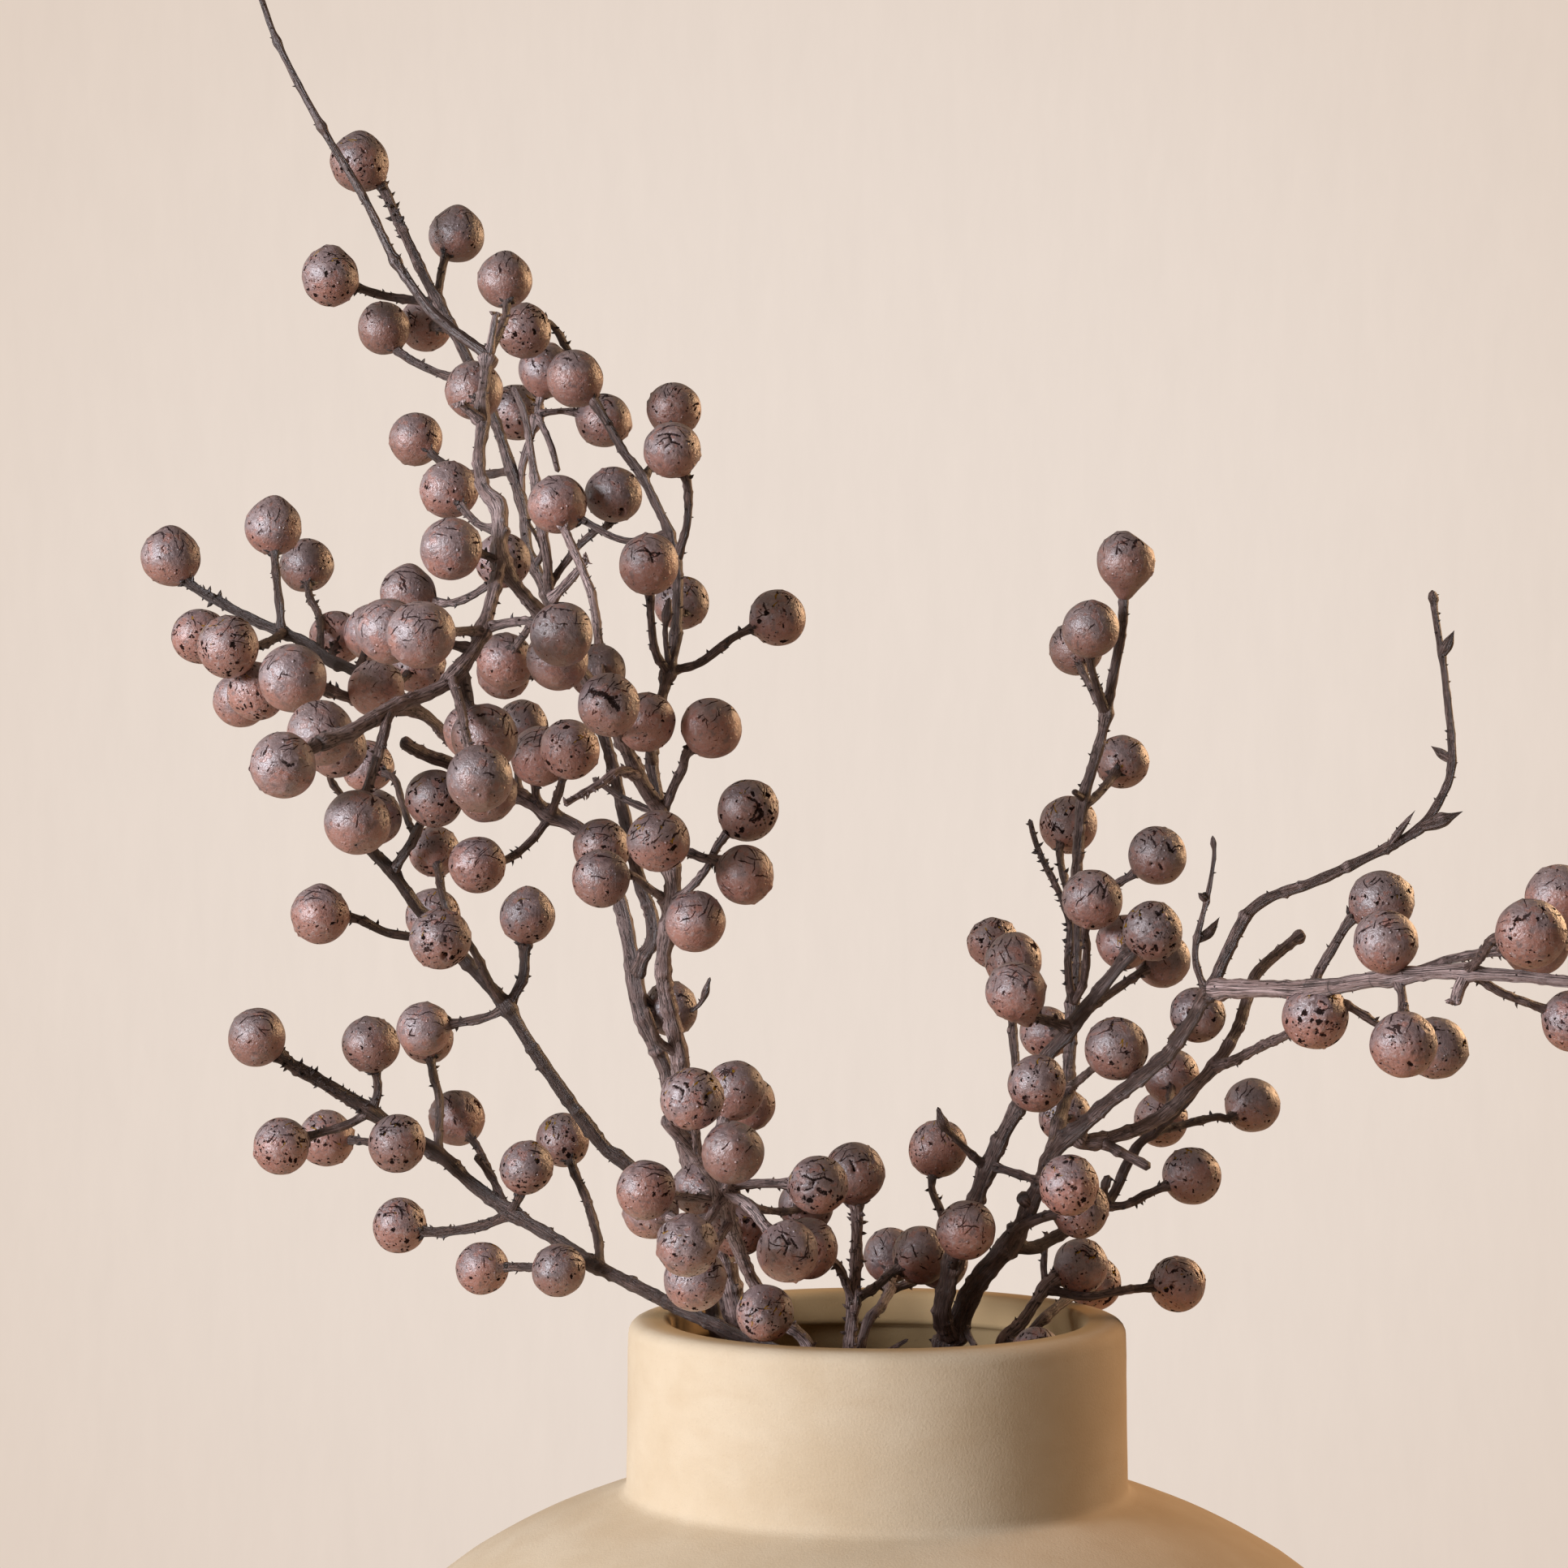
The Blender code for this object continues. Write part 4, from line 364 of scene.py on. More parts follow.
RIGHT_LIMBS = [
    ("main", "", (5.8, 4.4), 0, [
        (16, -22, 10), (16.8, -6, 10), (19.2, -2, 10), (21, 3, 11), (23.2, 7.8, 12),
        (26, 12.2, 14), (29.8, 16.6, 17), (33.5, 21, 20), (36, 25, 23), (38, 30, 26),
        (40.8, 35.5, 29), (43.1, 41.3, 32), (46.2, 45.4, 35), (51.3, 49.5, 39),
        (56.4, 54.2, 43), (61.5, 58.2, 47), (66.2, 61.8, 50), (71.8, 66.5, 54),
        (75, 70.8, 57), (78.5, 76, 60), (80.8, 80.5, 62), (83.2, 82.6, 64)]),
    ("", "main", (3.8, 3.2), 0, [(38, 29.5), (35.4, 31.8, 28)]),
    ("", "main", (2.2, 1.8), 0, [(20.5, 1.5), (24.4, -5.8, 14)]),
    ("front", "main", (4.8, 3.0), 14.6, [
        (18.2, -3.5), (16.2, 2.5, 17), (17.4, 9.5, 19), (19, 15.6, 20), (24.6, 31, 22),
        (27.7, 39.2, 23), (30.8, 45.9, 24), (34.4, 52.6, 24), (42.1, 66.2, 25),
        (46.7, 71.2, 26), (52.8, 79.5, 28), (56.9, 84.6, 30), (61, 89.7, 32), (68.1, 97, 38)]),
    ("", "front", (2.4, 2.2), 15.0, [(18.4, 13.5), (22.2, 23.3, 38)]),
    ("", "front", (2.2, 2.0), 14.3, [
        (19.6, 17.5), (15.9, 27.9, 14), (13.6, 34, 10), (15.1, 43.3, 5)]),
    ("", "front", (2.4, 1.2), 0, [
        (27.3, 38.3), (22, 43.3, 26), (19, 46.4, 28), (16.4, 49.5, 30), (15.1, 53.6, 31)]),
    ("", "front", (2.2, 2.2), 14.8, [
        (27.7, 39.2), (30.3, 38.5, 25), (35.9, 36.7, 30), (40, 35.5, 37), (47.4, 34.3, 52)]),
    ("", "front", (2.2, 2.0), 14.3, [(37, 57.2), (39.5, 59.4, 43)]),
    ("thin pair", "front", (2.6, 2.2), 14.2, [
        (35.6, 54.8), (34.7, 61, 17), (33.6, 73, 9), (33.8, 89.7, -4)]),
    ("", "thin pair", (2.0, 1.8), 13.2, [(33.6, 76), (31, 86, -14), (28.7, 94, -30)]),
    ("", "front", (2.8, 2.4), 15.3, [
        (48, 72.8), (43.1, 74.6, 29), (36.8, 76.8, 33), (34.6, 82, 36)]),
    ("", "front", (2.4, 2.2), 13.8, [
        (50.3, 76), (56.9, 81, 20), (65.1, 86.7, 10), (70.4, 89.8, 4)]),
    ("", "front", (2.2, 2.0), 13.7, [(61.5, 90.2), (61, 94.3, 16)]),
    ("upright", "main", (3.8, 2.6), 14.6, [
        (42.6, 40), (43.6, 44.5, 24), (45, 50, 18), (47, 58, 10), (47.5, 66, 5), (48.3, 80, 0),
        (49, 88.7, -1), (49.2, 104, -1), (49.3, 111.3, 0), (50.8, 128.7, 1), (53.2, 137, 2),
        (55.4, 144.6, 2), (56.7, 150.8, 3), (58.2, 159, 4), (60.6, 172, 6), (60.9, 178, 7),
        (61.4, 188.1, 8)]),
    ("", "upright", (2.2, 2.0), 13.3, [(44.8, 49), (46.5, 51.2, -8)]),
    ("", "upright", (2.2, 2.0), 15.7, [(47, 58), (51.3, 61.3, 24), (59, 68, 45)]),
    ("", "upright", (2.0, 1.8), 13.1, [(47.8, 71.5), (41.7, 72, -18)]),
    ("", "upright", (2.2, 2.2), 14.9, [
        (48.3, 79), (50.8, 83.6, 5), (51.8, 92.8, 12), (51.3, 97, 17), (53.3, 104.6, 25)]),
    ("", "upright", (2.2, 2.0), 14.5, [
        (49.2, 103), (59.5, 108.7, 7), (63.6, 111.3, 9), (69.2, 115.6, 12)]),
    ("", "upright", (2.0, 1.8), 14.4, [
        (49.1, 98), (46.7, 108, -9), (45.1, 116.9, -17), (47.2, 123.1, -24)]),
    ("thorn twig", "upright", (2.2, 1.4), 0, [
        (48.2, 78), (47.2, 88.7, 5), (47.6, 98, 7), (45.6, 105.1, 8), (41, 114.4, 8),
        (39, 119.5, 8), (37.7, 124.6, 8)]),
    ("", "upright", (2.2, 2.2), 13.2, [
        (50.8, 128.3), (53.3, 129.4, -1), (58.5, 135.4, -11), (60.5, 138.7, -18)]),
    ("", "upright", (2.0, 1.8), 0, [(51, 129.5), (48.6, 131.4, 6)]),
    ("", "upright", (2.2, 2.0), 14.2, [
        (56.6, 150.5), (53.6, 159.5, 9), (52.6, 164.6, 12), (52.9, 171.5, 15)]),
    ("", "upright", (2.0, 1.8), 13.5, [(56.4, 150), (50.8, 161, -6), (49.1, 166.5, -14)]),
    ("back reach", "main", (3.8, 2.6), 0, [
        (48.5, 47.2), (51.3, 44.8, 35), (60.5, 46.9, 32), (66.2, 49, 31), (71.8, 52.4, 31),
        (75.9, 56.2, 32), (83.4, 63.8, 33), (89, 73, 27), (90.8, 78.5, 23), (92.8, 85, 18),
        (95.3, 88.3, 15), (100.1, 92.5, 10), (105.2, 96.5, 6)]),
    ("", "back reach", (2.8, 2.4), 16.4, [
        (83.2, 63.6), (88.3, 65.2, 42), (94.2, 68.3, 55), (100.6, 71.2, 68), (108.2, 76, 84)]),
    ("", "back reach", (2.8, 2.6), 0, [(54.5, 45.5), (61.5, 41.8, 34), (67.5, 38.6, 36)]),
    ("", "back reach", (2.2, 2.0), 13.6, [(72, 52.6), (72.8, 61, 12)]),
    ("", "main", (2.2, 2.0), 13.8, [(74.5, 70), (73, 70.8, 44), (79, 76.2, 30)]),
    ("low reach", "main", (3.4, 2.0), 0, [
        (33, 20.4), (37.9, 18.9, 17), (43.6, 21.3, 12), (52, 26.5, 5), (57.9, 31.5, -2),
        (61.5, 39.2, -6), (64.6, 44.4, -8), (68.7, 47.9, -10), (76.9, 55.6, -12),
        (80.4, 61, -13)]),
    ("", "low reach", (2.0, 1.8), 13.6, [(68.2, 47.5), (70, 50.5, -32)]),
    ("", "low reach", (2.0, 2.2), 13.6, [
        (68.3, 47.6), (72.8, 48.5, -14), (84.1, 51.2, -22), (86.5, 50.8, -24), (92.7, 54.1, -30)]),
    ("", "low reach", (2.2, 2.2), 14.1, [
        (55, 29), (61.5, 29.5, 0), (66.7, 32.1, -4), (77.7, 36.7, -10)]),
    ("", "low reach", (1.8, 2.4), 0, [(56, 30), (56.2, 33.5, 4), (57.3, 36.8, 5)]),
    ("", "main", (3.0, 2.4), 14.0, [
        (31.5, 18.7), (35.9, 24.3, 27), (42.6, 26.9, 28), (50.4, 28.5, 25)]),
    ("reach", "main", (5.2, 2.8), 16.5, [
        (83.2, 82.6), (88.8, 82.8, 70), (97.7, 82.7, 78), (105.4, 82.5, 85), (113, 83.3, 91),
        (121.3, 84.8, 96), (127.2, 85.5, 100), (133.1, 86.3, 104), (141.9, 86.9, 110),
        (150.8, 86.3, 116), (159.6, 85.7, 121), (170.4, 84.5, 126), (180, 84.5, 130),
        (189, 88, 134)]),
    ("", "reach", (2.4, 2.4), 16.1, [
        (107.5, 82.7), (108.9, 86.6, 84), (111.9, 91.9, 84), (117.8, 100.7, 84),
        (124.4, 104.1, 84)]),
    ("", "reach", (2.4, 2.2), 15.7, [(126.5, 85.4), (125.4, 93.9, 102)]),
    ("", "reach", (2.2, 2.2), 15.3, [
        (108, 82.8), (116.6, 78.3, 86), (123.1, 74.2, 85), (130, 70, 83), (138, 68.1, 82)]),
    ("", "reach", (2.4, 2.2), 16.6, [(128.2, 85.6), (129.6, 80.7, 104), (129.9, 69.2, 110)]),
    ("", "reach", (2.6, 2.4), 17.4, [
        (145.3, 86.8), (149, 90.7, 120), (152.3, 95.2, 129), (161.1, 96.3, 142)]),
    ("", "reach", (2.6, 3.0), 0, [(145.3, 86.8), (143.1, 81.3, 114), (142.5, 78.6, 115)]),
    ("behind", "reach", (2.4, 2.2), 16.5, [
        (131.5, 86.2), (139, 89.2, 105), (144.9, 90.7, 107), (153.2, 92, 109),
        (162.3, 94.2, 112)]),
    ("", "behind", (2.2, 2.0), 17.0, [(153.2, 92), (160, 100.5, 118), (168.4, 104.9, 124)]),
    ("", "reach", (2.4, 2.2), 15.0, [
        (146.5, 86.8), (153.7, 81.9, 112), (163.8, 78, 109), (171.4, 74.7, 108)]),
    ("thin upright", "main", (2.0, 0.9), 0, [
        (81.2, 81.5), (79, 87.7, 62), (78.5, 91.3, 62), (79, 95.4, 62), (81.8, 106.7, 62),
        (83.2, 116, 62), (82.8, 120.5, 62)]),
    ("", "thin upright", (1.4, 2.4), 0, [(81.2, 104.5), (79.2, 106.4, 64)]),
    ("", "thin upright", (1.8, 1.0), 0, [(79.2, 94.5), (82, 96.6, 61), (84.6, 100.5, 60)]),
    ("curved", "main", (3.6, 1.9), 0, [
        (82, 82), (84.6, 87.7, 63), (89.2, 97.5, 63), (92.5, 102.3, 63), (97.6, 105.6, 64),
        (107.1, 108.8, 67), (120.1, 114.7, 70), (130.7, 120.1, 72), (134.9, 123.3, 73),
        (140.2, 131.8, 73), (141.7, 137.1, 73), (141.7, 144.8, 72), (140.7, 154.2, 71),
        (139.6, 163.7, 70), (138.1, 172.5, 69), (136.9, 181, 68)]),
    ("", "curved", (1.6, 3.8), 0, [(126, 117.9), (132.8, 126.8, 76)]),
    ("", "curved", (2.6, 0.8), 0, [(134, 122.3), (139.5, 124.3, 76), (144.6, 126.5, 78)]),
    ("", "curved", (2.2, 1.2), 0, [(141.7, 139), (136.6, 142.6, 70)]),
    ("", "curved", (2.2, 1.2), 0, [(139.7, 165), (142.4, 171.1, 72)]),
]

RIGHT_LOW_LIMBS = [
    ("main", "", (3.6, 3.0), 13.7, [
        (29.5, -24, 2), (30.8, -4.9, 2), (35.9, 0.8, 0), (39, 5.4, -2), (42.4, 10, -4),
        (50.3, 14.6, -6)]),
    ("", "main", (2.2, 2.2), 13.8, [
        (41.5, 8.8), (44.1, 8.3, -3), (51.3, 6.9, -3), (60.5, 8.4, -6), (66.2, 9, -9),
        (74.1, 10, -12)]),
    ("", "main", (2.8, 2.4), 13.5, [
        (30.4, -10), (36, -4.5, -3), (40.5, 0.8, -7), (47.2, 6.4, -18), (53.5, 10.3, -36)]),
    ("", "main", (2.2, 2.0), 13.0, [(32, -3.5), (39.5, -7.2, 15)]),
    ("", "main", (2.0, 1.4), 0, [(41.9, 9.4), (41.2, 14, -6), (41.5, 18.2, -8), (42, 23, -9)]),
]

BRANCHES = [
    ("front_left_branch", (-30, 8), FRONT_LEFT_LIMBS),
    ("back_left_branch", (-32, 27), BACK_LEFT_LIMBS),
    ("mid_left_branch", (-40, 17), MID_LEFT_LIMBS),
    ("low_left_branch", (-15, -8), LOW_LEFT_LIMBS),
    ("front_cluster_branch", (-15, -25), FRONT_CLUSTER_LIMBS),
    ("centre_branch", (-3, -14), CENTRE_LIMBS),
    ("right_branch", (14, -9), RIGHT_LIMBS),
    ("right_low_branch", (28, -2), RIGHT_LOW_LIMBS),
]

# How light the bark is, by branch and limb: 1 is pale, 0 dull and -0.4 darkest. Other limbs
# take PARENTS_TONE of their parent's.
LIGHT_BARK = {
    "front_left_branch": {
        "main": 0.6, "tall": 0.45, "bare twig": -0.2, "droop": 0.5, "spiny": 1.0, "second": 0.2},
    "back_left_branch": {
        "main": 0.35, "tall back": 0.15, "left": 0.35, "far left": -0.3, "curl": 0.1, "node": 0.9},
    "mid_left_branch": {"main": -0.25},
    "low_left_branch": {"main": -0.15},
    # The front cluster's and the centre's main stems are partly painted light: their tones are
    # raised where the pods shade them.
    "front_cluster_branch": {"main": 1.2, "low right": 0.8},
    "centre_branch": {"main": 0.85, "low": 0.4},
    "right_branch": {
        "main": 0.1, "front": 0.2, "thin pair": 0.15, "upright": 0.3, "back reach": 0.4,
        "low reach": 0.0, "reach": 0.65, "behind": 0.35, "thin upright": 0.15, "curved": 0.1},
    "right_low_branch": {"main": 0.6},
}

# How one pod differs from the rest, by the place of its centre in the tables.
# flats: directions (right, toward the eye, up) cut flat, with how far out the cut lies.
# point: how far the far end is drawn out. neck: how far the end at the twig is.
# wrinkles: how deep the skin's folds are. warm: how far the warmer colour rises, from 0 to 1.
# marks: (kind, width in mm, points) on the front, right and up in radii of the pod.
ODD_PODS = {
    (68.1, 97): {"marks": [
        ("crack", 0.9, [(-0.5, 0.62)]), ("crack", 0.8, [(-0.6, 0.3)]),
        ("crack", 1.1, [(0.05, 0.68), (0.12, 0.6)]), ("crack", 1.0, [(0.5, 0.45)]),
        ("crack", 1.0, [(-0.35, -0.48), (-0.4, -0.6)]),
        ("crack", 1.2, [(0.0, -0.5), (0.06, -0.62)]),
        ("crack", 0.8, [(0.55, -0.25)]), ("crack", 1.0, [(0.55, -0.52)])]},
    (47.4, 34.3): {"marks": [
        ("crack", 1.2, [(0.05, 0.05), (0.16, 0.0)]), ("crack", 0.9, [(-0.22, -0.66)]),
        ("crack", 1.1, [(0.28, -0.5), (0.32, -0.6)]), ("crack", 0.8, [(0.5, 0.2)])]},
    (108.2, 76): {"marks": [
        ("crack", 1.0, [(-0.1, -0.35), (-0.06, -0.45)]), ("crack", 0.9, [(0.35, -0.15)]),
        ("crack", 0.9, [(-0.35, -0.5)]), ("crack", 1.0, [(0.18, -0.55)])]},
    (129.9, 69.2): {"marks": [
        ("crack", 1.2, [(0.02, -0.5), (0.1, -0.58)]), ("crack", 0.9, [(0.4, -0.1)]),
        ("crack", 0.8, [(-0.4, 0.1)])]},
    (61.4, 188.1): {"flats": [((0.6, 0.1, 0.8), 0.86)], "neck": 0.35},
    (34.6, 82): {"neck": 0.4, "wrinkles": 0.03},
    (28.7, 94): {"wrinkles": 0.03, "flats": [((-0.5, 0.4, 0.7), 0.88), ((0.7, 0.5, 0.3), 0.9)]},
    (-50, 225.6): {"warm": 0.9, "point": 0.06},
    (-82.8, 140): {"point": 0.08},
    (-66, 152.7): {"marks": [
        ("crack", 1.9, [(-0.42, 0.36), (-0.2, 0.34), (0.05, 0.2), (0.2, 0.0), (0.34, -0.14)]),
        ("crack", 1.1, [(0.05, 0.2), (0.3, 0.24)])]},
    (-146.3, 137.9): {"marks": [("crack", 1.0, [(0.12, 0.12), (0.3, -0.02), (0.42, 0.0)])]},
    (-50.4, 215.5): {"marks": [
        ("crack", 0.75, [(-0.45, 0.42), (-0.1, 0.5), (0.3, 0.4)]),
        ("crack", 0.75, [(-0.1, 0.5), (0.02, 0.2), (0.3, 0.1)]),
        ("crack", 0.75, [(0.02, 0.2), (-0.2, 0.0)])]},
    (-56.3, 187.4): {"marks": [
        ("crack", 0.75, [(-0.1, 0.5), (0.1, 0.3), (0.4, 0.3)]),
        ("crack", 0.75, [(0.1, 0.3), (0.2, 0.0)])]},
    (-64.8, 204.4): {"marks": [("hole", 1.4, [(0.35, -0.64)])]},
    (69.2, 115.6): {"marks": [
        ("crack", 1.1, [(0.26, 0.46), (0.36, 0.2), (0.46, 0.14)]),
        ("crack", 1.0, [(-0.02, -0.3), (0.08, -0.46)]),
        ("hole", 0.8, [(-0.3, -0.3)])]},
    (53.3, 104.6): {"marks": [("crack", 0.75, [(0.1, 0.6), (0.3, 0.36), (0.26, 0.1)])]},
    (-45.4, 55.7): {"marks": [
        ("hole", 1.4, [(0.5, 0.12)]),
        ("crack", 0.75, [(-0.55, 0.45), (-0.25, 0.32), (-0.3, 0.05)])]},
    (-35.2, 42.3): {"warm": 0.9},
    (-14.4, 34.4): {"marks": [
        ("crack", 1.3, [(0.0, -0.04), (0.12, -0.16)]),
        ("crack", 0.75, [(-0.5, 0.4), (-0.15, 0.26), (0.2, 0.36), (0.5, 0.2)]),
        ("crack", 0.75, [(-0.15, 0.26), (-0.2, 0.0), (-0.5, -0.1)])]},
    (-5.7, 37.3): {"marks": [
        ("crack", 0.9, [(-0.12, 0.5), (0.0, 0.25)]), ("hole", 1.1, [(0.02, 0.2)])]},
    (-21.8, 18.2): {"flats": [((-0.9, 0.4, 0.1), 0.9)], "marks": [
        ("crack", 0.75, [(-0.2, 0.6), (0.0, 0.3), (-0.12, 0.0)]),
        ("crack", 0.75, [(0.1, 0.5), (0.3, 0.2)])]},
    (-46.6, 19.5): {"wrinkles": 0.035},
    (-43.5, 33.3): {"wrinkles": 0.04},
    (-107.4, 95.1): {"marks": [("hole", 1.6, [(0.23, -0.55)])]},
    (-34.4, 23.8): {"warm": 0.95, "marks": [
        ("hole", 1.1, [(-0.25, 0.1)]), ("hole", 0.9, [(0.3, 0.35)]),
        ("hole", 0.8, [(0.15, -0.35)])]},
    (-31.6, 126.8): {"marks": [
        ("crack", 1.0, [(0.02, 0.42), (0.3, 0.3), (0.38, 0.1), (0.28, -0.05), (0.2, -0.2)]),
        ("crack", 1.5, [(0.38, 0.05), (0.5, -0.12), (0.36, -0.3), (0.1, -0.34)])]},
}

# Pods drawn out to a blunt point at the top, which leans a little toward the eye.
POINTED = {
    (-174.1, 189.1), (-148.6, 196.5), (-137.2, 101), (-134.6, 258.2), (-91.6, 257.1),
    (-115.6, 180), (-86.3, 100.5), (-103.5, 268.6), (-127.4, 286.4)}

# What sets groups of pods apart from the rest: (what, how much, the pods). light is 0 on the
# darkest, chips is 0 with the fewest, point and sharp are in radii, and tip is a direction.
PODS_ALIKE = (
    ("light", 0.1, {
        (-86.9, 244.9), (59, 68), (-92, 160.5), (-109, 129.6), (61.4, 188.1), (92.7, 54.1),
        (-127.4, 286.4), (50.4, 28.5), (69.2, 115.6), (-64.8, 204.4), (-31.6, 126.8),
        (52.9, 171.5), (-77.4, 170), (-98.05, 134.6), (138, 68.1), (-50.8, 77.8)}),
    ("light", 1.0, {
        (-133, 169.2), (-111, 246.4), (61, 94.3), (-34.4, 23.8), (-40.8, 147), (-92, 188.3),
        (-152.8, 156.2), (50.3, 14.6), (-82.8, 140), (-124.2, 170.4), (-108.8, 116.7),
        (28.7, 94), (-53.7, 119.2), (-123.4, 157), (-113.3, 163), (-125.4, 137.5),
        (-75.6, 141.9), (-120.4, 171), (-56.3, 187.4), (41.7, 72), (-32.3, 110.8),
        (-50.4, 215.5), (33.8, 89.7), (15.1, 43.3), (-112.2, 170), (-144.1, 159.4),
        (34.6, 82), (-27.4, 2.7), (-21.8, 18.2), (11, 17)}),
    ("point", 0.12, POINTED), ("sharp", 0.08, POINTED), ("tip", (0.08, -0.15, 1.0), POINTED),
    ("chips", 0.95, {
        (-109, 129.6), (-159.7, 167), (50.4, 28.5), (-27.4, 2.7), (-34.4, 23.8), (68.1, 97),
        (47.4, 34.3), (108.2, 76), (39.5, 59.4), (74.1, 10)}),
    ("chips", 0.05, {
        (-120.4, 171), (-112.2, 170), (-77.4, 170), (-144.1, 159.4), (-40.8, 147),
        (-146.3, 137.9), (-32.3, 110.8), (61.4, 188.1), (-98.05, 134.6), (-124.2, 170.4)}),
    ("warm", 0.0, {
        (-120.4, 171), (-112.2, 170), (-144.1, 159.4), (-146.3, 137.9), (-98.05, 134.6),
        (-77.4, 170), (-104.8, 191.3), (-92, 188.3), (-50.4, 215.5)}),
    ("warm", 0.95, {(-159.7, 167), (-152.8, 156.2), (-133, 169.2)}),
)

# What sets single limbs apart, by name, by branch and name, or by the place of the end.
SMOOTH_LIMBS = ("bare twig", "reach")
# SLIM_LIMBS: times as thick. SLIMMER_ABOVE_RIM: the share lost from 12 to 32 mm above the rim.
SLIM_LIMBS = {"upright": 0.9, "curved": 0.9}
SLIMMER_ABOVE_RIM = {("right_branch", "main"): 0.22}
# Bare twigs that end in a bud, and stems with buds of their own.
BUDDED = {(-41, 85.6), (15.1, 53.6), (-51, 179.2)}
BUD_TWIGS = ("thin upright", "curved")
LONGEST_BUD = 13.0           # a shorter bare twig on one of these is itself a bud
# Broken twigs: how many times as thick as in the CAD model.
STOUT = {
    (-93.8, 249.5): 1.35, (-102.8, 227.4): 1.9, (-77.2, 196.5): 1.5, (142.5, 78.6): 1.1,
    (-71.3, 188.5): 1.7}
# Swollen ends: size, how far before the end, half length.
KNOBBED_ENDS = {
    "back reach": (0.3, 1.6, 1.5), "thin upright": (0.7, 1.8, 1.0), "curved": (0.7, 1.8, 1.0)}
# Swollen places: height in the view, size, half length, how much paler.
SWELLINGS = {
    "bare twig": ((262, 0.45, 1.3, 0.0), (295, 0.45, 1.3, 0.0), (316, 0.45, 1.3, 0.0)),
    "tall": (
        (200.5, 0.55, 4.5, 0.9), (191, 0.25, 3.0, 0.5), (212, 0.2, 2.0, 0.2),
        (225.5, 0.3, 2.0, 0.2), (237.5, 0.35, 2.2, 0.2)),
    "curl": ((210, 0.4, 40.0, 0.35), (228, 0.2, 4.0, 0.0), (205, 0.2, 2.5, 0.0)),
}
# Limbs with thorns all along, and those with thorns on this length below the pod.
THORNY = {
    ("centre_branch", "main"), ("right_branch", "thorn twig"), ("front_left_branch", "spiny")}
THORNY_ENDS = {
    ("low_left_branch", "main"): 30, ("back_left_branch", "far left"): 14,
    ("back_left_branch", "tall back"): 18}


# Reading the tables

def nearest_on(line, across, up):
    """The point of a seen line that lies nearest to a place of the view."""
    best = None
    for (x0, z0, t0), (x1, z1, t1) in zip(line, line[1:]):
        dx, dz = x1 - x0, z1 - z0
        share = ((across - x0) * dx + (up - z0) * dz) / (dx * dx + dz * dz)
        share = min(1.0, max(0.0, share))
        point = (x0 + share * dx, z0 + share * dz, t0 + share * (t1 - t0))
        gap = math.hypot(point[0] - across, point[1] - up)
        if best is None or gap < best[0]:
            best = (gap, point)
    return best[1]


def fill_in(points):
    """Give each point that has no third number one that changes evenly along the limb."""
    along = [0.0]
    for a, b in zip(points, points[1:]):
        along.append(along[-1] + math.hypot(b[0] - a[0], b[1] - a[1]))
    known = [i for i, point in enumerate(points) if len(point) == 3]
    filled = list(points)
    for first, last in zip(known, known[1:]):
        for i in range(first + 1, last):
            share = (along[i] - along[first]) / (along[last] - along[first])
            toward = points[first][2] + share * (points[last][2] - points[first][2])
            filled[i] = (points[i][0], points[i][1], toward)
    return filled


def seen_lines(limbs):
    """Each limb's whole line, in the order of the table. A twig starts on its parent's line."""
    lines, whole = {}, []
    for name, parent, _, _, points in limbs:
        line = list(points)
        if parent:
            line[0] = nearest_on(lines[parent], line[0][0], line[0][1])
        line = fill_in(line)
        if name:
            lines[name] = line
        whole.append(line)
    return whole


def nearness(toward):
    """Real size over seen size, at this distance nearer the eye than the vase's axis."""
    return (EYE_DISTANCE - toward) / EYE_DISTANCE


def real_place(point):
    """The real place, in millimetres, of a point of the table."""
    across, up, toward = point
    scale = nearness(toward)
    return Vector((
        EYE_ACROSS + (across - EYE_ACROSS) * scale,
        -toward,
        VASE_HEIGHT + EYE_ABOVE_RIM + (up - EYE_ABOVE_RIM) * scale,
    ))


def smooth_path(places):
    """Places close together along a curve through the given ones, and their shares of the way
    from one given place to the next."""
    spacing = PATH_SPACING
    knots = np.array([tuple(place) for place in places], dtype=float)
    padded = np.vstack([2 * knots[0] - knots[1], knots, 2 * knots[-1] - knots[-2]])
    out, share_of = [], []
    for i in range(1, len(padded) - 2):
        a, b, c, d = padded[i - 1:i + 3]
        reach = np.linalg.norm(c - b)
        unseen = max(b[2], c[2]) < VASE_HEIGHT - UNSEEN_DEPTH
        steps = max(1, int(round(reach / (UNSEEN_COARSER * spacing if unseen else spacing))))
        tangent_b = (c - a) / (reach + np.linalg.norm(b - a))
        tangent_c = (d - b) / (np.linalg.norm(d - c) + reach)
        for k in range(steps):
            t = k / steps
            h1, h2 = 2 * t**3 - 3 * t**2 + 1, -2 * t**3 + 3 * t**2
            h3, h4 = t**3 - 2 * t**2 + t, t**3 - t**2
            out.append(h1 * b + h2 * c + (h3 * tangent_b + h4 * tangent_c) * reach)
            share_of.append(i - 1 + t)
    out.append(padded[-2])
    share_of.append(len(knots) - 1)
    return np.array(out), np.array(share_of)


def lengths_along(path):
    """The length run at each place of a path."""
    return np.concatenate([[0], np.cumsum(np.linalg.norm(np.diff(path, axis=0), axis=1))])


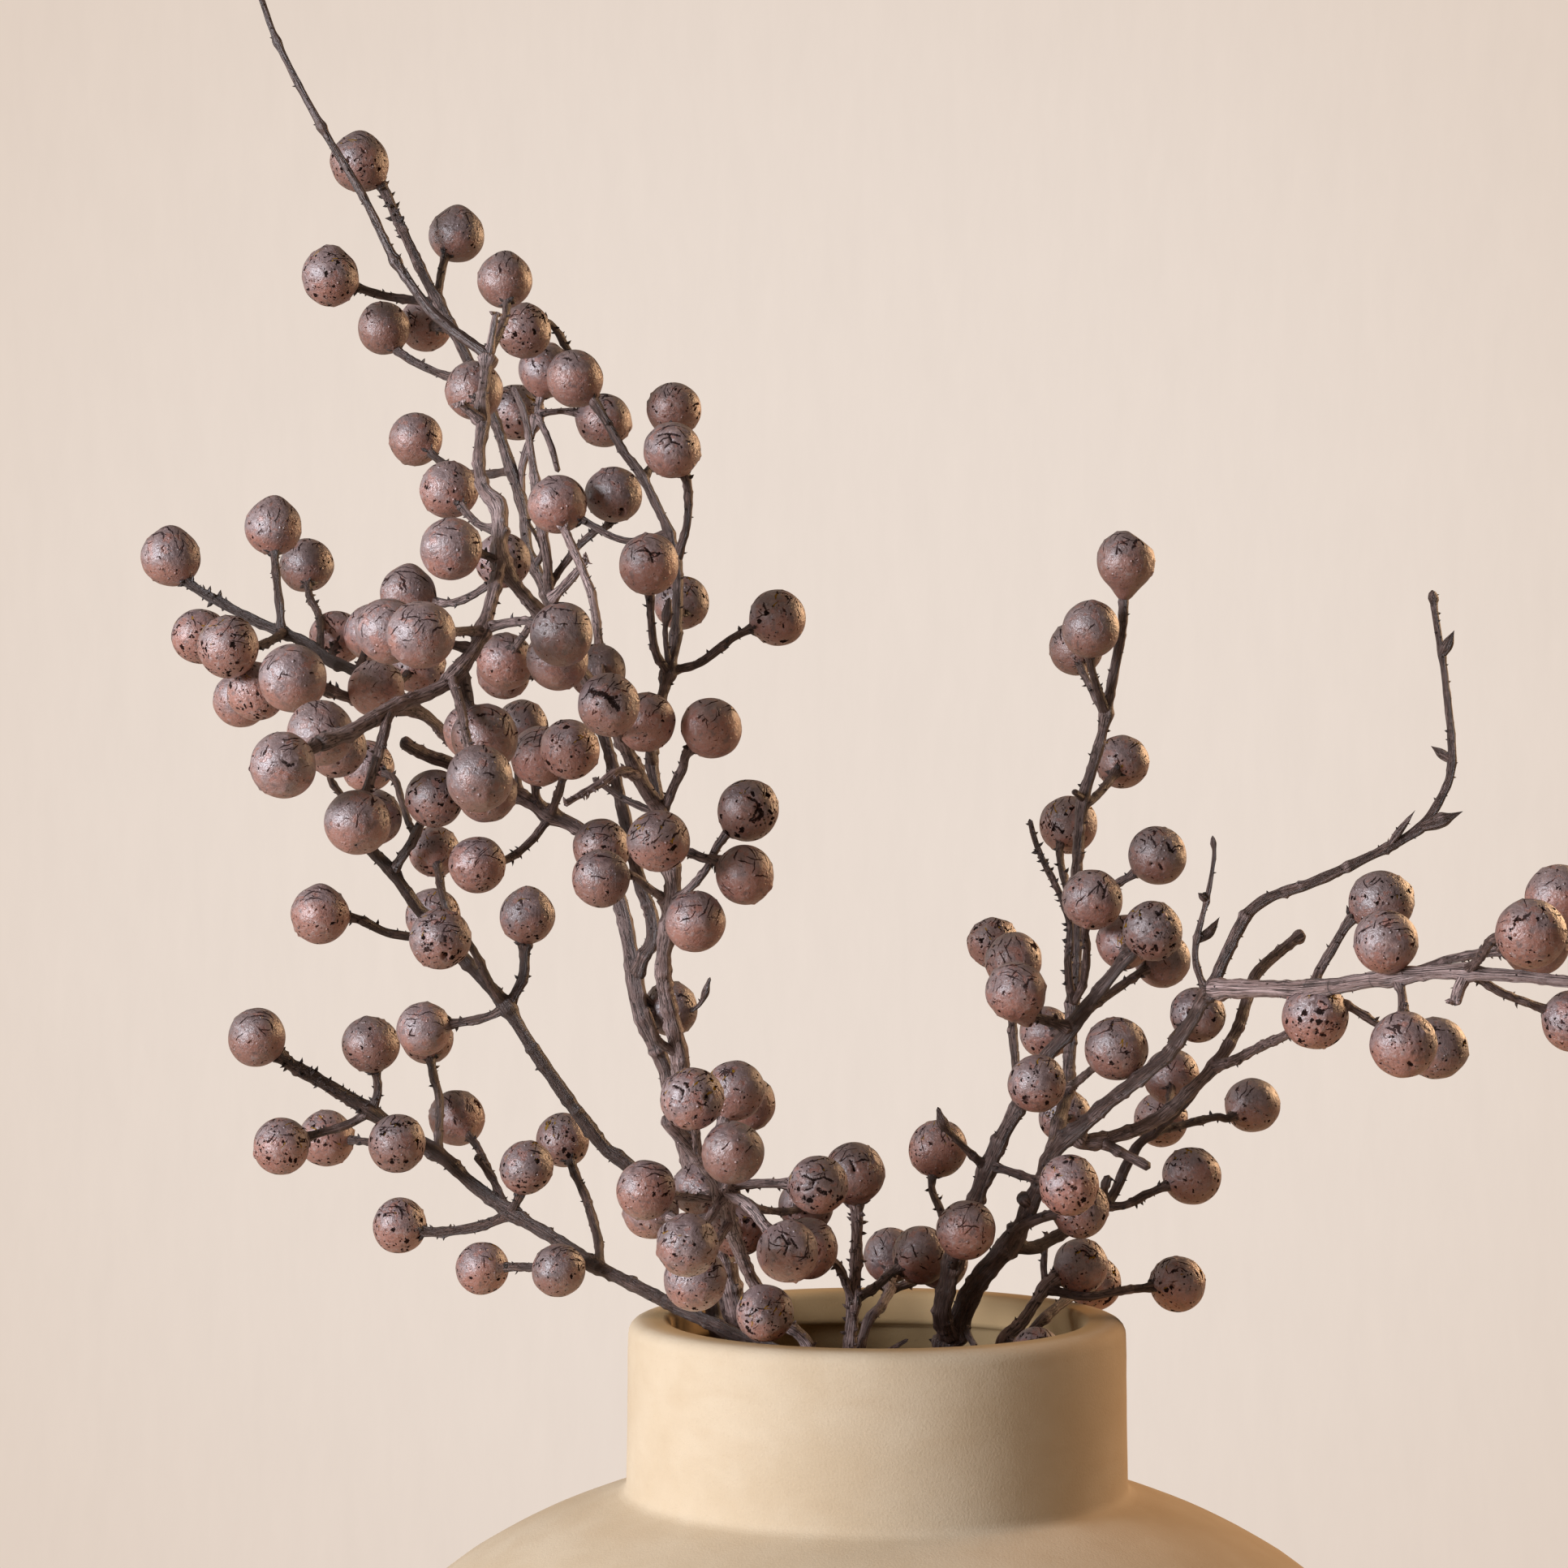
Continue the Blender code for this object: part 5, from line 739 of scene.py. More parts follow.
def frames_along(path):
    """Tangent and two sideways directions at each place, without twist."""
    tangents = np.gradient(path, axis=0)
    tangents /= np.linalg.norm(tangents, axis=1)[:, None]
    first = np.cross(tangents[0], (0.3, 0.9, 0.1))
    sides = [first / np.linalg.norm(first)]
    for tangent in tangents[1:]:
        side = sides[-1] - tangent * sides[-1].dot(tangent)
        sides.append(side / np.linalg.norm(side))
    sides = np.array(sides)
    return tangents, sides, np.cross(tangents, sides)


def read_branch(name, foot, limbs):
    """Each limb's path, radii and forks, in real millimetres."""
    rng = np.random.default_rng(sum(map(ord, name)))
    floor = FLOOR_THICKNESS + FOOT_GAP
    in_vase = [Vector((*foot, floor)), Vector((*foot, floor + FOOT_STRAIGHT))]
    made, tones = [], {}
    for (limb_name, parent, (root, tip), pod, _), line in zip(limbs, seen_lines(limbs)):
        extra = [] if parent else in_vase
        places = extra + [real_place(point) for point in line]
        lengths = [0.0]
        for a, b in zip(places, places[1:]):
            lengths.append(lengths[-1] + (b - a).length)
        seen_start = lengths[len(extra)]
        seen_length = lengths[-1] - seen_start
        widths = []
        for k, length in enumerate(lengths):
            share = max(0.0, (length - seen_start) / seen_length)
            toward = line[max(0, k - len(extra))][2]
            widths.append((root + (tip - root) * share) * nearness(toward) / 2)
        path, share_of = smooth_path(places)
        tone = LIGHT_BARK[name].get(limb_name)
        if tone is None:
            tone = PARENTS_TONE * tones.get(parent, 0.0) + rng.uniform(-0.05, 0.2)
        if limb_name:
            tones[limb_name] = tone
        at_root = 0.0
        if parent:
            carrier = next(limb for limb in made if limb["name"] == parent)
            k = int(np.linalg.norm(carrier["path"] - path[0], axis=1).argmin())
            at_root = float(carrier["radii"][k])
            thickness = min(1.5, widths[0] / at_root * 1.2)
            carrier["forks"].append((lengths_along(carrier["path"])[k], thickness))
        seen = (line[-1][0], line[-1][1])
        made.append({
            "name": limb_name, "seen": seen, "path": path, "forks": [], "root": at_root,
            "radii": np.interp(share_of, range(len(widths)), widths),
            "tone": max(tone, STUB_TONE) if seen in STOUT else tone,
            "pod": pod / 2 * nearness(line[-1][2]) if pod else 0.0,
            "bud": not pod and seen_length < LONGEST_BUD and parent in BUD_TWIGS,
            "slimmer": SLIMMER_ABOVE_RIM.get((name, limb_name), 0.0),
            "thorny": (name, limb_name) in THORNY,
            "thorny_end": THORNY_ENDS.get((name, limb_name), 0.0),
            "child": bool(parent)})
    return made


# Meshes

class Heap:
    """Points, faces and values at points, gathered for one object."""

    def __init__(self, *names):
        self.points, self.quads, self.tris = [], [], []
        self.values = {name: [] for name in names}
        self.count = 0

    def add(self, points, quads, tris=(), **values):
        self.points.append(points)
        self.quads.append(np.asarray(quads) + self.count)
        if len(tris):
            self.tris.append(np.asarray(tris) + self.count)
        for name, value in values.items():
            value = np.asarray(value, dtype=float)
            if value.ndim == 0 or (value.ndim == 1 and len(value) != len(points)):
                value = np.broadcast_to(value, (len(points),) + value.shape)
            self.values[name].append(value)
        self.count += len(points)

    def make(self, name, material, node_name):
        mesh = bpy.data.meshes.new(name)
        faces = [face for group in self.quads + self.tris for face in group.tolist()]
        mesh.from_pydata((np.concatenate(self.points) * MM).tolist(), [], faces)
        for key, parts in self.values.items():
            data = np.concatenate(parts)
            kind, field = ("FLOAT", "value") if data.ndim == 1 else ("FLOAT_VECTOR", "vector")
            layer = mesh.attributes.new(key, kind, "POINT")
            layer.data.foreach_set(field, data.ravel())
        mesh.polygons.foreach_set("use_smooth", [True] * len(mesh.polygons))
        mesh.materials.append(material)
        mesh.update()
        piece = bpy.data.objects.new(name, mesh)
        bpy.context.scene.collection.objects.link(piece)
        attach(piece, "root")
        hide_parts(node_name)


def unit(rng):
    """A random direction."""
    way = rng.normal(size=3)
    return way / np.linalg.norm(way)


def bell(along, middle, half_length):
    """1 at the middle, and smoothly less away from it."""
    return np.exp(-((along - middle) / half_length) ** 2)


def wave_sum(rng, points, count, low, high, size):
    """A sum of random waves at these points, with frequencies from low to high."""
    ways = rng.normal(size=(count, 3))
    ways /= np.linalg.norm(ways, axis=1)[:, None]
    ways = ways * rng.uniform(low, high, (count, 1))
    phases = rng.uniform(0, math.tau, count)
    return np.cos(points @ ways.T + phases).sum(axis=1) * size / math.sqrt(count / 2)


def ring_quads(rows, count, flip=False):
    """The faces between rings of points, each ring with this many points."""
    i, j = np.meshgrid(np.arange(rows - 1), np.arange(count), indexing="ij")
    a, b = (i * count + j).ravel(), (i * count + (j + 1) % count).ravel()
    corners = [a, a + count, b + count, b] if flip else [a, b, b + count, a + count]
    return np.stack(corners, axis=1)


def ball_grid(n):
    """Unit directions and quads of a cube blown up to a ball, n squares along an edge."""
    line = np.tan(np.linspace(-math.pi / 4, math.pi / 4, n + 1))
    u, v = np.meshgrid(line, line, indexing="ij")
    ones = np.ones_like(u)
    i, j = np.meshgrid(np.arange(n), np.arange(n), indexing="ij")
    sheets, quads = [], []
    for axis in range(3):
        for sign in (1, -1):
            parts = [None] * 3
            parts[axis], parts[(axis + 1) % 3], parts[(axis + 2) % 3] = sign * ones, u * sign, v
            corner = (len(sheets) * (n + 1) ** 2 + i * (n + 1) + j).ravel()
            sheets.append(np.stack(parts, axis=-1).reshape(-1, 3))
            quads.append(np.stack([corner, corner + n + 1, corner + n + 2, corner + 1], axis=1))
    points = np.concatenate(sheets)
    points /= np.linalg.norm(points, axis=1)[:, None]
    _, first, back = np.unique(
        np.round(points, 6), axis=0, return_index=True, return_inverse=True)
    return points[first], back.ravel()[np.concatenate(quads)]


def distance_to_line(spots, line):
    """Distance of flat spots to a line of flat points."""
    line = np.array(line, dtype=float)
    if len(line) == 1:
        return np.linalg.norm(spots - line[0], axis=1)
    best = np.full(len(spots), np.inf)
    for a, b in zip(line, line[1:]):
        share = np.clip((spots - a) @ (b - a) / ((b - a) @ (b - a)), 0, 1)
        best = np.minimum(best, np.linalg.norm(spots - a - share[:, None] * (b - a), axis=1))
    return best


def pod_outline(rng, ways, heading, odd):
    """How far out the skin lies in each direction, in radii: lumps, neck, point and warts."""
    pole = ways @ heading
    out = 1 + sum(wave_sum(rng, ways, *lumps) for lumps in POD_LUMPS)
    out *= 1 + rng.uniform(-0.02, 0.02) * pole**2
    neck = odd.get("neck", rng.uniform(0.05, 0.12))
    out += neck * np.exp(-((1 + pole) / (0.02 + 0.1 * neck)))
    point = odd.get("point", rng.choice(POD_POINTS))
    sharp = odd.get("sharp", rng.uniform(0.012, 0.04))
    tip = np.array(odd.get("tip", heading))
    out += point * np.exp(-((1 - ways @ tip / np.linalg.norm(tip)) / sharp))
    for _ in range(rng.integers(*WART_COUNTS)):
        spot = unit(rng)
        wide = rng.uniform(0.045, 0.08)
        out += rng.uniform(0.02, 0.055) * np.exp(-(1 - ways @ spot) / (wide**2 / 2))
    if "wrinkles" in odd:
        out -= odd["wrinkles"] * np.abs(wave_sum(rng, ways, *WRINKLES))
    for (right, toward, up), far in odd.get("flats", ()):
        way = np.array((right, -toward, up)) / math.sqrt(right**2 + toward**2 + up**2)
        facing = ways @ way
        cut = far / np.maximum(facing, 1e-3)
        flat = np.minimum(out, cut + 0.15 * np.maximum(out - cut, 0))
        out = np.where(facing > 0.3, flat, out)
    return out


def add_pod(heap, rng, centre, heading, radius, odd, grid):
    """One pod: a ball with a neck at its twig, low lumps, warts and, on some, a pointed end."""
    ways, quads = grid
    out = pod_outline(rng, ways, heading, odd)
    mark = np.zeros(len(ways))
    front = ways[:, 1] < -0.05
    spots = np.stack([ways[:, 0], ways[:, 2]], axis=1) * radius
    for kind, width, line in odd.get("marks", ()):
        away = distance_to_line(spots, np.array(line) * radius) / (width / 2)
        shade = np.clip(1.5 - away, 0, 1) * front
        mark = np.maximum(mark, shade)
        out -= MARK_DEPTHS[kind] * shade
    side = np.cross(heading, (0.2, 0.1, 0.97))
    side /= np.linalg.norm(side)
    parts = [ways @ side, ways @ np.cross(heading, side), ways @ heading]
    heap.add(
        centre + ways * (out * radius)[:, None], quads,
        place=np.stack(parts, axis=1) * radius + rng.uniform(-400, 400, 3),
        up=ways[:, 2], mark=mark,
        tint=np.array([odd.get(key, rng.uniform()) for key in ("warm", "light", "chips")]))


def limb_radii(rng, limb, along, surface):
    """Radii along a limb, wider at its forks, at its root and where its pod sits."""
    radii = limb["radii"] * STEM_SLIMMER
    for spot, thickness in limb["forks"]:
        radii *= 1 + 0.2 * thickness * bell(along, spot, 1.1 * radii + 0.5)
    if limb["child"]:
        radii *= 1 + 0.3 * bell(along, limb["root"], 1.3)
    if limb["pod"]:
        radii *= 1 + 0.35 * bell(along, surface, 1.5)
    for _ in range(3):
        pace, phase = rng.uniform(0.25, 0.9), rng.uniform(0, math.tau)
        radii *= 1 + 0.03 * np.cos(pace * along + phase)
    return radii


def bark_shape(rng, limb, along, surface, radii, angles):
    """How far out the bark lies in radii: ridges, leaf scars and knobs; and the scars alone."""
    tone, length = limb["tone"], along[-1]
    smooth = limb["name"] in SMOOTH_LIMBS or tone > 0.6 and not limb["thorny"]
    rough = 0.45 if smooth else 1.0
    along, angles = along[:, None], angles[None, :]
    shape = np.ones((len(along), angles.size))
    scar = np.zeros_like(shape)
    ridges = 0.02 + 0.03 * abs(tone)
    for turns, size, pace in ((2, 0.05, 0.04), (3, 0.035, 0.05), (5, ridges, 0.03)):
        phase, twist = rng.uniform(0, math.tau), rng.uniform(-pace, pace)
        shape += size * np.cos(turns * angles + phase + twist * along)
    thick = np.clip((radii.max() - 1.2) / 1.5, 0, 1)
    shape += 0.04 * thick * np.cos(7 * angles + length + 0.05 * along)
    for _ in range(4):
        turns, pace, phase = rng.integers(0, 2), rng.uniform(0.8, 2.4), rng.uniform(0, math.tau)
        shape += (0.012 + 0.01 * abs(tone)) * np.cos(turns * angles + phase + pace * along)
    spot = limb["root"] + rng.uniform(3, 8)
    while spot < surface - 2:
        way, wide = rng.uniform(0, math.tau), rng.uniform(0.6, 1.1)
        lean = 0.65 + 0.35 * np.cos(angles - way)
        shape += rough * rng.uniform(0.1, 0.3) * lean * bell(along, spot, wide)
        scar += lean * bell(along, spot + wide * 0.9, 0.4)
        spot += rng.uniform(6, 17)
    for _ in range(int(length / KNOB_SPACING)):
        spot, way = rng.uniform(0, length), rng.uniform(0, math.tau)
        knob = np.exp((np.cos(angles - way) - 1) / 0.3) * bell(along, spot, rng.uniform(0.4, 0.9))
        shape += rough * rng.uniform(0.1, 0.32) * knob
    return shape, scar


def own_shape(limb, along, radii):
    """The radii and tone with what the photo shows at just this limb."""
    name, end, tone = limb["name"], along[-1], limb["tone"]
    radii = radii * STOUT.get(limb["seen"], 1.0)
    if limb["seen"] in BUDDED:
        radii *= 1 + 1.2 * bell(along, end - 4.0, 2.0)
    if limb["bud"]:
        share = along / end
        radii = radii[0] * (0.8 + 0.55 * np.sin(math.pi * share) ** 1.5) * (1.02 - share**2.5)
    radii *= SLIM_LIMBS.get(name, 1.0)
    path = limb["path"]
    seen_up = path[:, 2] - VASE_HEIGHT - EYE_ABOVE_RIM
    seen_up = seen_up / nearness(-path[:, 1]) + EYE_ABOVE_RIM
    for height, size, half_length, paler in SWELLINGS.get(name, ()):
        swelling = bell(seen_up, height, half_length)
        radii *= 1 + size * swelling
        tone = tone + paler * swelling[:, None]
    radii *= 1 - limb["slimmer"] * np.clip((path[:, 2] - VASE_HEIGHT - 12) / 20, 0, 1)
    if name in KNOBBED_ENDS:
        size, before_end, half_length = KNOBBED_ENDS[name]
        radii *= 1 + size * bell(along, end - before_end, half_length)
    return radii, tone


def add_limb(heap, rng, limb):
    """Bark round one limb, with swollen forks and ridges, and its thorns."""
    path = limb["path"]
    along = lengths_along(path)
    surface = along[-1] - limb["pod"]
    axes = tangents, sides, others = frames_along(path)
    radii = limb_radii(rng, limb, along, surface)
    count = int(np.clip(round(radii.max() * 4 + 4), *FEWEST_MOST_SIDES))
    angles = np.arange(count) * math.tau / count
    shape, scar = bark_shape(rng, limb, along, surface, radii, angles)
    radii, tone = own_shape(limb, along, radii)
    if not limb["pod"]:
        closing = np.clip((along[-1] - along) / np.maximum(radii * 0.7, 0.2), 0, 1)
        shape *= np.sqrt(np.clip(1 - (1 - closing) ** 2, 0.02, 1))[:, None]
    reach = shape * radii[:, None]
    cosines, sines = np.cos(angles), np.sin(angles)
    ring = cosines[None, :, None] * sides[:, None, :] + sines[None, :, None] * others[:, None, :]
    points = (path[:, None, :] + ring * reach[:, :, None]).reshape(-1, 3)
    last = (len(path) - 1) * count
    tris = [(0, k + 1, k) for k in range(1, count - 1)]
    tris += [(last, last + k, last + k + 1) for k in range(1, count - 1)]
    # Where the bark's pattern is read: drawn out along the limb, more so on a smooth one
    across = radii.max() * (0.35 if limb["name"] == "bare twig" else 1.0)
    stretch = 0.12 if limb["name"] in SMOOTH_LIMBS else 0.35
    parts = (cosines * across, sines * across, along[:, None] * stretch)
    place = np.stack([np.broadcast_to(part, reach.shape) for part in parts], axis=-1)
    # How raised the bark is, with none at the leaf scars. The bark's colour takes painted shade
    # where this is low.
    height = np.clip((shape - 0.8) / 0.5, 0, 1) * (1 - np.clip(scar, 0, 1))
    heap.add(
        points, ring_quads(len(path), count), tris,
        place=place.reshape(-1, 3) + rng.uniform(-300, 300, 3),
        tone=np.broadcast_to(tone, reach.shape).ravel(), height=height.ravel())
    add_thorns(heap, rng, limb, along, surface, reach, axes, angles)


def add_thorn(heap, rng, at, out, along, size, tone):
    """A scale of bark: a stubby four-sided spike that leans along the twig."""
    side = np.cross(out, along)
    lean = rng.uniform(0.0, 0.9)
    wide, thick = size * rng.uniform(0.6, 1.0), size * rng.uniform(0.5, 0.9)
    ring = np.array([side * wide, along * thick, -side * wide, -along * thick]) / 2
    low = at - out * size * 0.4 + ring * 1.3
    middle = at + out * size * 0.4 + along * size * 0.3 * lean + ring * 0.8
    tip = at + out * size * 0.95 + along * size * lean * 0.8
    points = np.vstack([low, middle, tip])
    quads = [(3, 2, 1, 0)] + [(i, (i + 1) % 4, 4 + (i + 1) % 4, 4 + i) for i in range(4)]
    tris = [(4 + i, 4 + (i + 1) % 4, 8) for i in range(4)]
    heap.add(points, quads, tris, place=points * (1, 1, 0.4), tone=tone, height=0.4)


def add_thorns(heap, rng, limb, along, surface, reach, axes, angles):
    """Thorns all along a limb, more and larger near a pod, and a collar at the pod."""
    tangents, sides, others = axes
    path, tone, pod_radius = limb["path"], limb["tone"], limb["pod"]
    spot = limb["root"] + 0.8
    end = surface - 0.1 if pod_radius else along[-1] - 1.0
    while spot < end:
        i = min(max(int(np.searchsorted(along, spot)), 1), len(along) - 1)
        near_pod = pod_radius and surface - spot < THORNS_NEAR_POD
        thorny = limb["thorny"] or surface - spot < limb["thorny_end"]
        if path[i][2] > VASE_HEIGHT - THORN_DEPTH:
            k = rng.integers(0, len(angles))
            out = math.cos(angles[k]) * sides[i] + math.sin(angles[k]) * others[i]
            at = path[i] + out * reach[i, k] * 0.95
            big = 1.5 if thorny and near_pod else 1.2 if thorny else 1.0 if near_pod else 0.7
            add_thorn(heap, rng, at, out, tangents[i], rng.uniform(0.5, 1.3) * big, tone - 0.5)
        gap = (0.5, 1.1) if thorny else (0.9, 2.0) if near_pod else (1.5, 4.5)
        spot += rng.uniform(*gap)
    if pod_radius or limb["seen"] in STOUT:
        i = int(np.searchsorted(along, surface - (0.3 if pod_radius else 0.9)))
        shade = tone - 0.5 if pod_radius else tone + 0.3
        for _ in range(rng.integers(3, 6)):
            way = rng.uniform(0, math.tau)
            out = math.cos(way) * sides[i] + math.sin(way) * others[i]
            at = path[i] + out * reach[i].mean() * 0.9
            add_thorn(heap, rng, at, out, tangents[i], rng.uniform(1.1, 1.9), shade)


def make_branch(name, foot, limbs, wood, pod_skin, plain_grid, fine_grid):
    rng = np.random.default_rng(7 + sum(map(ord, name)))
    bark = Heap("place", "tone", "height")
    pods = Heap("place", "up", "mark", "tint")
    for limb in read_branch(name, foot, limbs):
        add_limb(bark, rng, limb)
        if limb["pod"]:
            heading = limb["path"][-1] - limb["path"][-4]
            heading /= np.linalg.norm(heading)
            odd = dict(ODD_PODS.get(limb["seen"], {}))
            for key, value, places in PODS_ALIKE:
                if limb["seen"] in places:
                    odd[key] = value
            grid = fine_grid if "marks" in odd else plain_grid
            add_pod(pods, rng, limb["path"][-1], heading, limb["pod"], odd, grid)
    bark.make(name + "_wood", wood, name)
    pods.make(name + "_pods", pod_skin, name)


# The vase

def oval(half_width, half_height, start, end, steps):
    """Points of an oval round the body's widest place, from one angle to another in degrees."""
    middle = BODY_RADIUS - BODY_OVAL
    centre = VASE_HEIGHT - BODY_BELOW_RIM
    points = []
    for i in range(steps + 1):
        angle = math.radians(start + (end - start) * i / steps)
        points.append((middle + half_width * math.cos(angle),
                       centre + half_height * math.sin(angle)))
    return points


def angle_at_height(half_height, height):
    """The angle, in degrees, at which such an oval reaches a height."""
    return math.degrees(math.asin((height - VASE_HEIGHT + BODY_BELOW_RIM) / half_height))


def angle_at_radius(half_width, radius):
    """The angle, in degrees, at which such an oval reaches a radius."""
    return math.degrees(math.acos((radius - BODY_RADIUS + BODY_OVAL) / half_width))


def rounded(corner, start, end, radius, steps=5):
    """Points of a quarter circle."""
    points = []
    for i in range(steps + 1):
        angle = math.radians(start + (end - start) * i / steps)
        points.append((corner[0] + radius * math.cos(angle), corner[1] + radius * math.sin(angle)))
    return points


def vase_outline():
    """From the floor's middle up the inside, over the rim and down the outside to the middle."""
    top = VASE_HEIGHT + RIM_RISE
    inner = BODY_OVAL - BODY_WALL
    neck_inner = NECK_RADIUS - NECK_WALL
    lip_foot = top - LIP_HEIGHT
    floor_angle = angle_at_height(BODY_LOWER_HALF - BODY_WALL, FLOOR_THICKNESS)
    neck_angle = angle_at_radius(inner, neck_inner)
    shoulder_angle = angle_at_radius(BODY_OVAL, NECK_RADIUS + NECK_FILLET)
    base_angle = angle_at_height(BODY_LOWER_HALF, 0.0)
    points = [(0.0, FLOOR_THICKNESS)]
    points += oval(inner, BODY_LOWER_HALF - BODY_WALL, floor_angle, 0.0, 16)
    points += oval(inner, BODY_UPPER_HALF - BODY_WALL, 0.0, neck_angle, 16)[1:]
    points += [(neck_inner, top - 30.0), (neck_inner, lip_foot - 1.6)]
    points += [(LIP_INNER_RADIUS + 1.5, lip_foot - 0.8), (LIP_INNER_RADIUS + 0.2, lip_foot)]
    points += [(LIP_INNER_RADIUS, lip_foot + 1)]
    points += rounded((LIP_INNER_RADIUS + LIP_INNER_ROUNDING, top - LIP_INNER_ROUNDING),
                      180, 90, LIP_INNER_ROUNDING)
    points += rounded((NECK_RADIUS - LIP_ROUNDING, top - LIP_ROUNDING), 90, 0, LIP_ROUNDING)
    shoulder = oval(BODY_OVAL, BODY_UPPER_HALF, shoulder_angle, 0.0, 30)
    high, low = top - LIP_ROUNDING, shoulder[0][1] + NECK_FILLET
    for i in range(1, 8):
        points.append((NECK_RADIUS + 0.05 * i, high - (high - low) * i / 7))
    points += [(NECK_RADIUS + 0.6, low - 1.2), (NECK_RADIUS + 1.3, low - 2.2)]
    points += shoulder
    points += oval(BODY_OVAL, BODY_LOWER_HALF, 0.0, base_angle, 40)[1:-1]
    edge = oval(BODY_OVAL, BODY_LOWER_HALF, base_angle, base_angle, 1)[0][0]
    points += [(edge + 0.3, 0.9), (edge - 0.6, 0.15), (edge - 2.0, 0.0), (0.0, 0.0)]
    return points


def make_vase(skin):
    """The turned wall, with the slight unevenness of the potter's hand."""
    rng = np.random.default_rng(3)
    outline = np.array(vase_outline())
    turned = outline[1:-1]
    angles = np.arange(VASE_STEPS) * math.tau / VASE_STEPS
    sway = 0.12 * np.sin(2 * angles + 0.7) + 0.08 * np.sin(3 * angles + 2.1)
    rings = sum(rng.uniform(0.02, 0.05) * np.sin(turned[:, 1] * rng.uniform(0.5, 1.6) + k)
                for k in range(5))
    radius = turned[:, 0][:, None] + sway[None, :] + rings[:, None]
    height = np.broadcast_to(turned[:, 1][:, None], radius.shape)
    points = np.stack([radius * np.cos(angles), radius * np.sin(angles), height], axis=-1)
    points = points.reshape(-1, 3)
    floor, base, last = len(points), len(points) + 1, (len(turned) - 1) * VASE_STEPS
    points = np.vstack([points, (0, 0, outline[0][1]), (0, 0, outline[-1][1])])
    tris = [(floor, k, (k + 1) % VASE_STEPS) for k in range(VASE_STEPS)]
    tris += [(base, last + (k + 1) % VASE_STEPS, last + k) for k in range(VASE_STEPS)]
    heap = Heap()
    heap.add(points, ring_quads(len(turned), VASE_STEPS, flip=True), tris)
    heap.make("vase_turned", skin, "vase")


# Materials

class Field:
    """A node's output, which adds, subtracts and multiplies as a number does."""

    def __init__(self, shader, socket):
        self.shader, self.socket = shader, socket

    def __add__(self, other):
        return self.shader.math("ADD", self, other)

    def __sub__(self, other):
        return self.shader.math("SUBTRACT", self, other)

    def __mul__(self, other):
        return self.shader.math("MULTIPLY", self, other)

    def beside(self, output):
        """Another output of the same node."""
        return Field(self.shader, self.socket.node.outputs[output])

    def scaled(self, *factors):
        """This vector with each of its parts multiplied."""
        return self.shader.vector("MULTIPLY", self, factors)


class Shader:
    """A short way to write the nodes of a material or of the world."""

    def __init__(self, owner):
        owner.use_nodes = True
        self.owner, self.tree = owner, owner.node_tree

    def put(self, socket, value):
        if isinstance(value, Field):
            self.tree.links.new(value.socket, socket)
        else:
            socket.default_value = value

    def fill(self, node, **named):
        """Set a node's inputs. An underscore stands for the space in an input's name."""
        for key, value in named.items():
            self.put(node.inputs[key.replace("_", " ")], value)

    def node(self, kind, output=0, settings=(), numbered=(), **named):
        """Make a node, with its settings and inputs, and give one of its outputs."""
        made = self.tree.nodes.new("ShaderNode" + kind)
        for key, value in dict(settings).items():
            setattr(made, key, value)
        for key, value in dict(numbered).items():
            self.put(made.inputs[key], value)
        self.fill(made, **named)
        return Field(self, made.outputs[output])

    def surface(self, **named):
        """Set the material's main shader and give the material."""
        self.fill(self.tree.nodes["Principled BSDF"], **named)
        return self.owner

    def value(self, name, output="Fac"):
        return self.node("Attribute", output, {"attribute_name": name})

    def math(self, operation, a, b):
        return self.node("Math", 0, {"operation": operation}, {0: a, 1: b})

    def vector(self, operation, a, b):
        return self.node("VectorMath", 0, {"operation": operation}, {0: a, 1: b})

    def most(self, first, *others):
        """The largest of some values."""
        for other in others:
            first = self.math("MAXIMUM", first, other)
        return first

    def spread(self, value, low, high, at_low, at_high, kind="LINEAR"):
        """A value that runs from at_low to at_high while another runs from low to high."""
        return self.node("MapRange", 0, {"interpolation_type": kind}, Value=value,
                         From_Min=low, From_Max=high, To_Min=at_low, To_Max=at_high)

    def step(self, value, low, high):
        """0 below low, 1 above high, smooth between; low may be the larger."""
        ends = (1.0, 0.0) if low > high else (0.0, 1.0)
        return self.spread(value, min(low, high), max(low, high), *ends, "SMOOTHSTEP")

    def noise(self, vector, scale, detail=3.0, roughness=0.55):
        return self.node("TexNoise", "Fac", Vector=vector, Scale=scale, Detail=detail,
                         Roughness=roughness)

    def pushed(self, vector, place, scale, detail, reach):
        """A vector pushed about by soft noise."""
        push = self.node("TexNoise", "Color", Vector=place, Scale=scale, Detail=detail)
        return self.vector("ADD", vector, push.scaled(reach, reach, reach))

    def cells(self, vector, scale, feature="F1"):
        """The distance to the middle, or to the edge, of the cell that a place is in."""
        return self.node("TexVoronoi", "Distance", {"feature": feature},
                         Vector=vector, Scale=scale)

    def mix(self, share, a, b, blend="MIX"):
        return self.node("Mix", 2, {"data_type": "RGBA", "blend_type": blend},
                         {0: share, 6: a, 7: b})

    def stains(self, base, *layers):
        """Lay colours over a base, each as (where, how strongly, screen colour)."""
        for share, amount, tone in layers:
            base = self.mix(share if amount == 1.0 else share * amount, base, colour(*tone))
        return base

    def bump(self, height, distance):
        return self.node("Bump", 0, Height=height, Distance=distance, Strength=1.0)


def colour(red, green, blue):
    """A screen colour from 0 to 255, as Blender's own linear one."""
    parts = []
    for part in (red, green, blue):
        part /= 255
        parts.append(part / 12.92 if part <= 0.04045 else ((part + 0.055) / 1.055) ** 2.4)
    return (*parts, 1.0)


